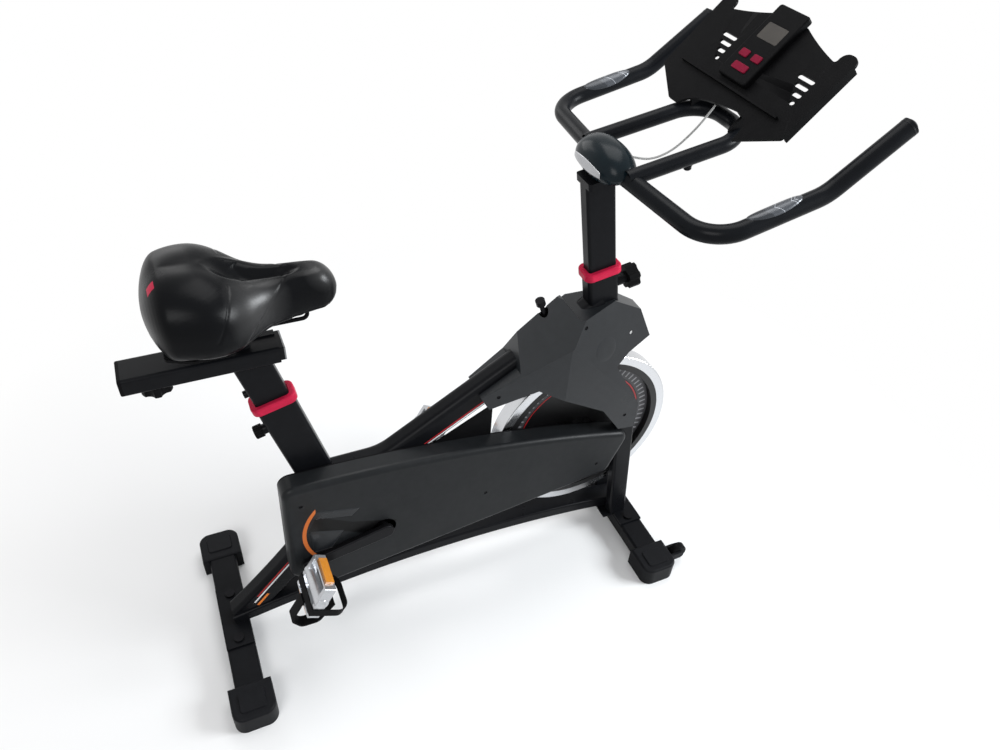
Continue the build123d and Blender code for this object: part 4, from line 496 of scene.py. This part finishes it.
def smooth_curve(x, knots, values):
    """Cubic through the knots: each span is a Hermite curve whose end slopes are the neighbours' mean slope."""
    knots, values = np.asarray(knots, float), np.asarray(values, float)
    slope = np.gradient(values, knots)
    i = np.clip(np.searchsorted(knots, x) - 1, 0, len(knots) - 2)
    step = knots[i + 1] - knots[i]
    t = np.clip((x - knots[i]) / step, 0.0, 1.0)
    a = values[i] * (1 + 2 * t) * (1 - t) ** 2 + slope[i] * step * t * (1 - t) ** 2
    b = values[i + 1] * t**2 * (3 - 2 * t) + slope[i + 1] * step * t**2 * (t - 1)
    return a + b


def smooth_shade(piece):
    """Even shading over the whole piece."""
    piece.data.polygons.foreach_set("use_smooth", np.ones(len(piece.data.polygons), bool))


def baked(piece):
    """The piece's mesh with its modifiers applied, in place of the old mesh."""
    graph = bpy.context.evaluated_depsgraph_get()
    mesh = bpy.data.meshes.new_from_object(piece.evaluated_get(graph))
    piece.modifiers.clear()
    piece.data = mesh


def face_outwards(mesh):
    """Merge double points and turn every face outwards."""
    work = bmesh.new()
    work.from_mesh(mesh)
    bmesh.ops.remove_doubles(work, verts=work.verts, dist=1e-6)
    bmesh.ops.recalc_face_normals(work, faces=work.faces)
    work.to_mesh(mesh)
    work.free()


def corners_of(mesh):
    """All vertices of a mesh as one array."""
    flat = np.empty(3 * len(mesh.vertices))
    mesh.vertices.foreach_get("co", flat)
    return flat.reshape(-1, 3)


def saddle_form():
    """Saddle: a closed section carried along x; half-width, crest and hollow are smooth curves of x.

    With c and s the cosine and sine of the section's angle, y is the half-width times c to the power 0.8, the upper
    half rises from the belt line by s to the power 0.8, less a hollow that falls off as a bell from the middle, and
    the lower half drops by s to the power 0.4 and draws in by a tenth, so that it ends nearly flat. Near each end
    width and height shrink about the belt line by a quarter circle, which rounds the tail and the nose. The middle of
    the underside is hollow, so that the skirt hangs round the pan.
    """
    rows = np.array(SADDLE_ROWS)
    u = np.linspace(0.0, math.pi, 72)
    x = rows[0, 0] + (rows[-1, 0] - rows[0, 0]) * (1 - np.cos(u)) / 2
    half, crest, low, hollow = (smooth_curve(x, rows[:, 0], rows[:, k])[:, None] for k in (1, 2, 3, 4))
    turn = np.linspace(0.0, 2 * math.pi, 96, endpoint=False)[None, :]
    c, s = np.cos(turn), np.sin(turn)
    up, down = np.clip(s, 0, 1), np.clip(-s, 0, 1)
    belt = low + 0.45 * (crest - low)
    tail = np.clip((x - rows[0, 0]) / SADDLE_TAIL, 0, 1)
    nose = np.clip((rows[-1, 0] - x) / SADDLE_NOSE, 0, 1)
    drawn = np.sqrt(np.maximum(1e-4, (1 - (1 - tail) ** 2) * (1 - (1 - nose) ** 2)))[:, None]
    half, crest, low = half * drawn, belt + (crest - belt) * drawn, belt - (belt - low) * drawn
    y = half * np.sign(c) * np.abs(c) ** 0.8 * (1 - 0.1 * down)
    bell = np.exp(-((y / (0.2 * half + 0.004)) ** 2))
    z = belt + (crest - belt) * up**0.8 - hollow * bell * up - (belt - low) * down**0.4
    z = z + SADDLE_HOLLOW * drawn * np.clip((0.82 * half - np.abs(y)) / 0.01, 0, 1) * np.clip(3 * down - 1, 0, 1)
    points = np.stack([np.broadcast_to(x[:, None], y.shape), y, z], axis=-1)
    ends = [np.broadcast_to(points[k].mean(axis=0), points[k].shape)[None] for k in (0, -1)]
    return np.concatenate([ends[0], points, ends[1]])


def padded_saddle(material):
    """Vinyl saddle: the form is remeshed, swollen as cloth over its foam, then gets its seams."""
    piece = grid_mesh("saddle_cover", saddle_form(), close_v=True)
    even = piece.modifiers.new("even", "REMESH")
    even.mode = "VOXEL"
    even.voxel_size = 0.0045
    baked(piece)
    rest = corners_of(piece.data)
    held = piece.vertex_groups.new(name="held")
    flat = np.flatnonzero(rest[:, 2] < SADDLE_SEAT + 0.004)
    held.add(flat.tolist(), 1.0, "REPLACE")
    cloth = piece.modifiers.new("swell", "CLOTH")
    cloth.settings.quality = 6
    cloth.settings.use_pressure = True
    cloth.settings.uniform_pressure_force = 4.0
    cloth.settings.effector_weights.gravity = 0.0
    cloth.settings.tension_stiffness = 30.0
    cloth.settings.compression_stiffness = 30.0
    cloth.settings.shear_stiffness = 15.0
    cloth.settings.bending_stiffness = 2.0
    cloth.settings.vertex_group_mass = "held"
    for step in range(1, 21):
        bpy.context.scene.frame_set(step)
        bpy.context.view_layer.update()
    baked(piece)
    bpy.context.scene.frame_set(1)
    moved = corners_of(piece.data) - rest
    length = np.linalg.norm(moved, axis=1, keepdims=True)
    moved *= np.minimum(1.0, SADDLE_SWELL / np.maximum(length, 1e-9))
    piece.data.vertices.foreach_set("co", (rest + moved).ravel())
    fine = piece.modifiers.new("fine", "SUBSURF")
    fine.levels = 1
    fine.render_levels = 1
    baked(piece)
    sew(piece.data)
    smooth_shade(piece)
    piece.data.materials.clear()
    piece.data.materials.append(material)
    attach(piece, "saddle")
    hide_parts("saddle_cushion")


def sew(mesh):
    """Seams: each vertex sinks along its normal by the seam depth times a bell of its distance from the seam lines.

    The lines are a cross seam behind the nose that runs back down the flank, a diagonal one on the flank, and the rim
    line above the skirt's edge.
    """
    co = corners_of(mesh)
    normal = np.empty(3 * len(mesh.vertices))
    mesh.vertices.foreach_get("normal", normal)
    normal = normal.reshape(-1, 3)
    x, side, z = co[:, 0], np.abs(co[:, 1]), co[:, 2]
    outer = np.clip((normal[:, 2] + 0.75) / 0.2, 0, 1)
    nose = x - SEAM_NOSE[0] + SEAM_NOSE_RAKE * np.clip(SEAM_NOSE[1] - z, 0, None)
    flank = x - SEAM_FLANK[0] + SEAM_FLANK_RAKE * (SEAM_FLANK[1] - z)
    flank = np.where((side > 0.045) & (z > 0.904) & (z < 0.966), flank * 0.88, 1.0)
    rim = z - SADDLE_SEAT - 0.001 - 0.004 * np.sin(14 * (x + 0.42))
    depth = np.zeros(len(co))
    for line, deep, width in ((nose * 0.66, 0.0012, 0.0021), (flank, 0.0011, 0.002), (rim, 0.0012, 0.0024)):
        depth = np.maximum(depth, deep * np.exp(-((line / width) ** 2)))
    mesh.vertices.foreach_set("co", (co - normal * (depth * outer)[:, None]).ravel())
    mesh.update()


def tilted(points, origin, lean):
    """Points given in a frame that leans back about y by so many degrees, moved to an origin in the side view."""
    a = math.radians(lean)
    x, y, z = points[..., 0], points[..., 1], points[..., 2]
    ahead = origin[0] + x * math.cos(a) - z * math.sin(a)
    above = origin[1] + x * math.sin(a) + z * math.cos(a)
    return np.stack([ahead, y, above], axis=-1)


def bar_cap(material, bright):
    """Domed cap over the bar's clamp and a bright shield on its rear.

    In the post's leaning frame the plan is a superellipse of power 2.3; the dome's height is the rise times
    (1 - r^2.2)^0.55 for the plan radius r, then a skirt drops to the flange and closes under it. The shield is a patch
    of the same surface at the rear: for each height the plan radius comes from the dome's formula turned round, and
    the patch stands a millimetre and a half off it.
    """
    long, wide, skirt, rise = 0.042, 0.074, 0.013, 0.040
    low, high, reach_round = 0.006, 0.030, 0.62
    r = np.concatenate([np.linspace(0.0, 0.9, 22), 0.9 + 0.1 * np.sin(np.linspace(0.1, math.pi / 2, 12))])
    turn = np.linspace(0.0, 2 * math.pi, 96, endpoint=False)[None, :]

    def plan(angle):
        c, s = np.cos(angle), np.sin(angle)
        reach = (np.abs(c) ** 2.3 + np.abs(s) ** 2.3) ** (-1 / 2.3)
        return long * reach * c, wide * reach * s

    px, py = plan(turn)
    height = skirt + rise * np.clip(1 - r**2.2, 0, None) ** 0.55
    dome = np.stack(
        [r[:, None] * px, r[:, None] * py, np.broadcast_to(height[:, None], (len(r), turn.shape[1]))], axis=-1
    )
    foot = np.stack([0.86 * px[0], 0.86 * py[0], np.zeros(turn.shape[1])], axis=-1)[None]
    under = np.zeros_like(foot)
    shell = np.concatenate([dome, foot, under])
    shell[..., 0] += CAP_AHEAD
    cap = grid_mesh("bar_cap", tilted(shell, CAP_FOOT, HEAD_LEAN), close_v=True)
    smooth_shade(cap)
    edge = cap.modifiers.new("edge", "EDGE_SPLIT")
    edge.split_angle = math.radians(50)
    cap.data.materials.append(material)
    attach(cap, "bar_post")
    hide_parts("handlebar_cover")
    a = np.linspace(-1.0, 1.0, 41)[None, :]
    v = np.linspace(0.0, 1.0, 21)[:, None]
    sx, sy = plan(math.pi + reach_round * a)
    h = low + (high - low) * v * (1 - 0.3 * np.abs(a) ** 2)
    inner = (1 - (np.clip(h - skirt, 0, None) / rise) ** (1 / 0.55)) ** (1 / 2.2)
    inner = inner * (1 - 0.14 * np.clip(skirt - h, 0, None) / skirt)
    lift = 1.0 + 0.034 * np.sin(math.pi * (0.04 + 0.92 * v)) ** 0.3
    shield = np.stack([sx * inner * lift, sy * inner * lift, h + 0.0012], axis=-1)
    shield[..., 0] += CAP_AHEAD
    plate = grid_mesh("cap_shield", tilted(shield, CAP_FOOT, HEAD_LEAN))
    smooth_shade(plate)
    thick = plate.modifiers.new("thick", "SOLIDIFY")
    thick.thickness = 0.0012
    plate.data.materials.append(bright)
    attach(plate, "bar_post")


def touch_pads(material):
    """Oval touch pads on the two arms.

    Each is a disc of radius r and angle a laid round the bar; its height above the bar is the lift times the root of
    1 - r^6, sunk slightly at the rim.
    """
    low, high = (np.array(c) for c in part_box("sensor_pads"))
    run = np.array([BAR_KINK[0] - BAR_CORNER[0], BAR_KINK[1] - BAR_CORNER[1]])
    run /= np.linalg.norm(run)
    middle = (low[0] + high[0]) / 2
    centre = np.array([middle, BAR_CORNER[1] + (middle - BAR_CORNER[0]) * run[1] / run[0]])
    r = np.linspace(0.0, 1.0, 26)[:, None]
    a = np.linspace(0.0, 2 * math.pi, 80, endpoint=False)[None, :]
    along = PAD_HALF * r * np.cos(a)
    spread = math.radians(PAD_SPREAD) * r * np.sin(a)
    radius = BAR_RADIUS - PAD_SINK + PAD_LIFT * np.sqrt(np.clip(1 - r**6, 0, None)) + 0 * a
    for name, side in (("touch_pad_right", -1), ("touch_pad_left", 1)):
        angle = spread - side * math.radians(PAD_TURN)
        across = radius * np.sin(angle)
        above = radius * np.cos(angle)
        points = np.stack(
            [
                centre[0] + along * run[0] - above * run[1],
                side * BAR_HALF + across,
                centre[1] + along * run[1] + above * run[0],
            ],
            axis=-1,
        )
        pad = grid_mesh(name, points, close_v=True)
        smooth_shade(pad)
        pad.data.materials.append(material)
        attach(pad, "bar_post")
        if side < 0:
            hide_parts("sensor_pads")


def bar_tips(material):
    """Rounded ends of the bar: a quarter ellipse turned about the bar's end."""
    run = np.array([BAR_TIP[0] - BAR_KINK[0], 0.0, BAR_TIP[1] - BAR_KINK[1]])
    run /= np.linalg.norm(run)
    side_way = np.array([0.0, 1.0, 0.0])
    up = np.cross(run, side_way)
    t = np.linspace(0.0, math.pi / 2, 14)[:, None]
    a = np.linspace(0.0, 2 * math.pi, 48, endpoint=False)[None, :]
    ring = (BAR_RADIUS + TIP_SWELL) * np.cos(t)
    for name, side in (("bar_tip_right", -1), ("bar_tip_left", 1)):
        end = np.array([BAR_TIP[0], side * BAR_HALF, BAR_TIP[1]]) - TIP_INSET * run
        points = (
            end
            + (TIP_LENGTH * np.sin(t) + 0 * a)[..., None] * run
            + (ring * np.cos(a))[..., None] * side_way
            + (ring * np.sin(a))[..., None] * up
        )
        tip = grid_mesh(name, points, close_v=True)
        smooth_shade(tip)
        tip.data.materials.append(material)
        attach(tip, "bar_post")


def turned(name, profile, centre, axis, material, body, sides=40):
    """A profile of (radius, height) pairs turned about an axis through a centre."""
    axis = np.array(axis, float)
    axis /= np.linalg.norm(axis)
    first = np.cross(axis, [0.3, 0.5, 0.81])
    first /= np.linalg.norm(first)
    second = np.cross(axis, first)
    a = np.linspace(0.0, 2 * math.pi, sides, endpoint=False)[None, :]
    ring, rise = (np.array(profile)[:, k][:, None] for k in (0, 1))
    points = (
        np.array(centre, float)
        + (rise + 0 * a)[..., None] * axis
        + (ring * np.cos(a))[..., None] * first
        + (ring * np.sin(a))[..., None] * second
    )
    piece = grid_mesh(name, points, close_v=True)
    smooth_shade(piece)
    edge = piece.modifiers.new("edge", "EDGE_SPLIT")
    edge.split_angle = math.radians(40)
    piece.data.materials.append(material)
    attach(piece, body)


def cover_panels(material):
    """Two low raised panels on the belt cover, above and below the recess behind the crank, whose shade is painted into
    the cover's colour.

    Each is a four-cornered patch in the cover's side plane; its height off the cover is the lift times the root of
    (1 - u^8)(1 - v^8), with u and v from -1 to 1 across it, so it runs into the cover at its rim.
    """
    panels = {
        "cover_panel_upper": ((-0.366, 0.392), (-0.287, 0.369), (-0.268, 0.3885), (-0.359, 0.412)),
        "cover_panel_lower": ((-0.374, 0.285), (-0.336, 0.285), (-0.306, 0.3315), (-0.375, 0.357)),
    }
    u = np.linspace(-1.0, 1.0, 41)[:, None]
    v = np.linspace(-1.0, 1.0, 25)[None, :]
    lift = PANEL_LIFT * np.sqrt(np.clip((1 - u**8) * (1 - v**8), 0, None)) - PANEL_SINK
    for name, corners in panels.items():
        a, b, c, d = (np.array(corner) for corner in corners)
        low = (1 - u[..., None]) / 2 * a + (1 + u[..., None]) / 2 * b
        high = (1 - u[..., None]) / 2 * d + (1 + u[..., None]) / 2 * c
        flat = (1 - v[..., None]) / 2 * low + (1 + v[..., None]) / 2 * high
        panel = grid_mesh(name, np.stack([flat[..., 0], -COVER_FACE - lift, flat[..., 1]], axis=-1))
        smooth_shade(panel)
        panel.data.materials.append(material)
        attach(panel, "frame")


def notched_tray(material):
    """Tray with its tail opened round the front loop: a merged copy of the solid, less a slab.

    In the tray's plane the slab is a superellipse of power 3.5, wider than the loop, whose front edge lies at the
    notch and slants down to the left.
    """
    turn = np.linspace(0.0, 2 * math.pi, 96, endpoint=False)
    c, s = np.cos(turn), np.sin(turn)
    reach = (np.abs(c) ** 3.5 + np.abs(s) ** 3.5) ** (-1 / 3.5)
    across = NOTCH_SIDE + NOTCH_HALF * reach * s
    up = NOTCH_UP - NOTCH_DEPTH + NOTCH_DEPTH * reach * c - NOTCH_SLANT * across
    rings = [np.stack([up, across, np.full_like(turn, level)], axis=-1) for level in NOTCH_LEVELS]
    ends = [np.broadcast_to(ring.mean(axis=0), ring.shape) for ring in rings]
    slab = grid_mesh("tray_slab", tilted(np.stack([ends[0], *rings, ends[1]]), TRAY, TRAY_LEAN), close_v=True)
    face_outwards(slab.data)
    tray = bpy.data.objects.new("tray_shell", nodes_of["tray"].data.copy())
    bpy.context.collection.objects.link(tray)
    face_outwards(tray.data)
    notch = tray.modifiers.new("notch", "BOOLEAN")
    notch.operation = "DIFFERENCE"
    notch.solver = "EXACT"
    notch.object = slab
    baked(tray)
    bpy.data.objects.remove(slab)
    tray.data.materials.clear()
    tray.data.materials.append(material)
    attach(tray, "bar_post")
    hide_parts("tray")


def guard_inlay(material):
    """Flush inlays on the guard's sides: a disc in the facet's plane, raised by a lift times 1 - r^4, and a mirror."""
    out = np.array(GUARD_FACET)
    first = np.cross(out, [0.0, 1.0, 0.0])
    first /= np.linalg.norm(first)
    first = (first + np.cross(out, first)) / math.sqrt(2)
    second = np.cross(out, first)
    r = np.linspace(0.0, 1.0, 14)[:, None]
    a = np.linspace(0.0, 2 * math.pi, 64, endpoint=False)[None, :]
    points = (
        np.array(GUARD_INLAY)
        + (INLAY_RADIUS * r * np.cos(a))[..., None] * first
        + (INLAY_RADIUS * r * np.sin(a))[..., None] * second
        + (INLAY_LIFT * (1 - r**4) - INLAY_SINK + 0 * a)[..., None] * out
    )
    for side, name in ((1, "guard_inlay_right"), (-1, "guard_inlay_left")):
        inlay = grid_mesh(name, points[:, ::side] * np.array([1, side, 1]), close_v=True)
        smooth_shade(inlay)
        inlay.data.materials.append(material)
        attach(inlay, "frame")


def pedal_caps(material):
    """Bright ringed dust cap on the outer end of each pedal."""
    ring = [
        (0.0, 0.0008), (0.0055, 0.0008), (0.0075, 0.0026), (0.0105, 0.003), (0.0125, 0.0018), (0.013, -0.0005),
        (0.0, -0.0005),
    ]
    drop = math.radians(CRANK_DROP)
    for name, side in (("right", -1), ("left", 1)):
        x, z = CRANK[0] + side * CRANK_THROW * math.cos(drop), CRANK[2] + side * CRANK_THROW * math.sin(drop)
        centre, outwards = (x, side * PEDAL_END, z), (0.0, side, 0.0)
        turned(f"pedal_cap_{name}", ring, centre, outwards, material, f"{name}_pedal")


def loop_bolt(material):
    """Low bolt head under the right leg of the front loop."""
    head = [
        (0.0, 0.0075), (0.0055, 0.0075), (0.007, 0.006), (0.007, 0.0), (0.0085, -0.001), (0.0085, -0.004),
        (0.0, -0.004),
    ]
    turned("loop_bolt", head, LOOP_BOLT, LOOP_BOLT_WAY, material, "bar_post")


def sensor_wire():
    """Thin wire that hangs from the bar cover to the tray, one smooth spline through the route's points."""
    curve = bpy.data.curves.new("wire_run", "CURVE")
    curve.dimensions = "3D"
    curve.bevel_depth = WIRE_DIAMETER / 2
    curve.bevel_resolution = 4
    curve.resolution_u = 16
    curve.use_fill_caps = True
    spline = curve.splines.new("NURBS")
    spline.points.add(len(WIRE_ROUTE) - 1)
    for point, (x, z) in zip(spline.points, WIRE_ROUTE):
        point.co = (x, 0.0, z, 1.0)
    spline.order_u = 3
    spline.use_endpoint_u = True
    wire = bpy.data.objects.new("wire_run", curve)
    bpy.context.collection.objects.link(wire)
    wire.data.materials.append(grained("wire_jacket", (0.3, 0.3, 0.295), 0.35, 800.0, 0.00003).material)
    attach(wire, "bar_post")
    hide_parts("sensor_wire")


# Stage
def set_camera():
    """Camera at the photograph's place, turn, tilt and lens."""
    yaw, pitch, roll = (math.radians(v) for v in (EYE_YAW, EYE_PITCH, EYE_ROLL))
    ahead = np.array([math.sin(yaw) * math.cos(pitch), math.cos(yaw) * math.cos(pitch), -math.sin(pitch)])
    level = np.array([math.cos(yaw), -math.sin(yaw), 0.0])
    up = np.cross(level, ahead)
    right = math.cos(roll) * level + math.sin(roll) * up
    top = np.cross(right, ahead)
    data = bpy.data.cameras.new("camera")
    data.lens = EYE_LENS
    data.sensor_width = SENSOR
    camera = bpy.data.objects.new("camera", data)
    bpy.context.collection.objects.link(camera)
    turn = np.eye(4)
    turn[:3, 0], turn[:3, 1], turn[:3, 2], turn[:3, 3] = right, top, -ahead, EYE
    camera.matrix_world = turn.T.tolist()
    bpy.context.scene.camera = camera


def set_light():
    """Soft studio light: a pale world and four large panels, the one at the side cool as a window."""
    scene = bpy.context.scene
    scene.view_settings.view_transform = "Standard"
    world = bpy.data.worlds.new("studio")
    world.use_nodes = True
    tree = world.node_tree
    base = tree.nodes["Background"]
    base.inputs["Color"].default_value = (0.95, 0.97, 1.0, 1.0)
    base.inputs["Strength"].default_value = 0.3
    white = tree.nodes.new("ShaderNodeBackground")
    path = tree.nodes.new("ShaderNodeLightPath")
    mix = tree.nodes.new("ShaderNodeMixShader")
    seen = path.outputs["Is Camera Ray"]
    for kind in ("Is Glossy Ray", "Is Transmission Ray"):
        either = tree.nodes.new("ShaderNodeMath")
        either.operation = "MAXIMUM"
        tree.links.new(seen, either.inputs[0])
        tree.links.new(path.outputs[kind], either.inputs[1])
        seen = either.outputs[0]
    tree.links.new(seen, mix.inputs[0])
    tree.links.new(base.outputs[0], mix.inputs[1])
    tree.links.new(white.outputs[0], mix.inputs[2])
    white.inputs["Color"].default_value = (1.0, 1.0, 1.0, 1.0)
    tree.links.new(mix.outputs[0], tree.nodes["World Output"].inputs[0])
    scene.world = world
    panels = [
        ("key_panel", (-1.9, -2.0, 2.8), 1.5, 44.0, (1.0, 1.0, 1.0)),
        ("top_panel", (0.5, 0.7, 3.2), 1.8, 42.0, (1.0, 1.0, 1.0)),
        ("side_panel", (2.8, -1.4, 1.9), 1.35, 135.0, (0.94, 0.975, 1.0)),
        ("back_panel", (-0.8, 3.0, 2.0), 1.6, 18.0, (1.0, 1.0, 1.0)),
    ]
    target = np.array([0.0, 0.0, 0.6])
    for name, place, size, power, colour in panels:
        light = bpy.data.lights.new(name, "AREA")
        light.shape = "SQUARE"
        light.size = size
        light.energy = power
        light.color = colour
        lamp = bpy.data.objects.new(name, light)
        bpy.context.collection.objects.link(lamp)
        back = np.array(place) - target
        back /= np.linalg.norm(back)
        side = np.cross([0.0, 0.0, 1.0], back)
        side /= np.linalg.norm(side)
        turn = np.eye(4)
        turn[:3, 0], turn[:3, 1], turn[:3, 2], turn[:3, 3] = side, np.cross(back, side), back, place
        lamp.matrix_world = turn.T.tolist()


def set_floor():
    """Plain pale floor, which shows white to the camera away from the shadow."""
    half = 9.0
    corners = np.array([[[-half, -half, 0.0], [half, -half, 0.0]], [[-half, half, 0.0], [half, half, 0.0]]])
    floor = grid_mesh("studio_floor", corners)
    look = Finish("studio_floor", (0.86, 0.86, 0.86), 0.7)
    look.bump(look.noise(90.0, 2.0), 0.0001)
    far = look.spread(look.radius((0.0, 0.0, 0.0), (1.0, 1.0, 0.0)), 0.0, 1.0, 0.55, 1.5)
    path = look.put("ShaderNodeLightPath").outputs
    direct = look.calc("MAXIMUM", path["Is Camera Ray"], path["Is Glossy Ray"])
    seen = look.both(far, look.calc("MAXIMUM", direct, path["Is Transmission Ray"]))
    glow = look.put("ShaderNodeEmission")
    blend = look.put("ShaderNodeMixShader")
    look.link(seen, blend.inputs[0])
    look.link(look.shader.outputs[0], blend.inputs[1])
    look.link(glow.outputs[0], blend.inputs[2])
    look.link(blend.outputs[0], look.tree.nodes["Material Output"].inputs["Surface"])
    floor.data.materials.append(look.material)


looks = finish_all()
sensor_wire()
padded_saddle(vinyl().material)
bar_cap(looks["handlebar_cover"], looks["pedal_axles"])
touch_pads(pad_face().material)
bar_tips(looks["handlebar"])
cover_panels(looks["guard_right"])
notched_tray(looks["tray"])
guard_inlay(looks["guard_right"])
pedal_caps(looks["pedal_right"])
loop_bolt(looks["frame_fasteners"])

set_camera()
set_light()
set_floor()
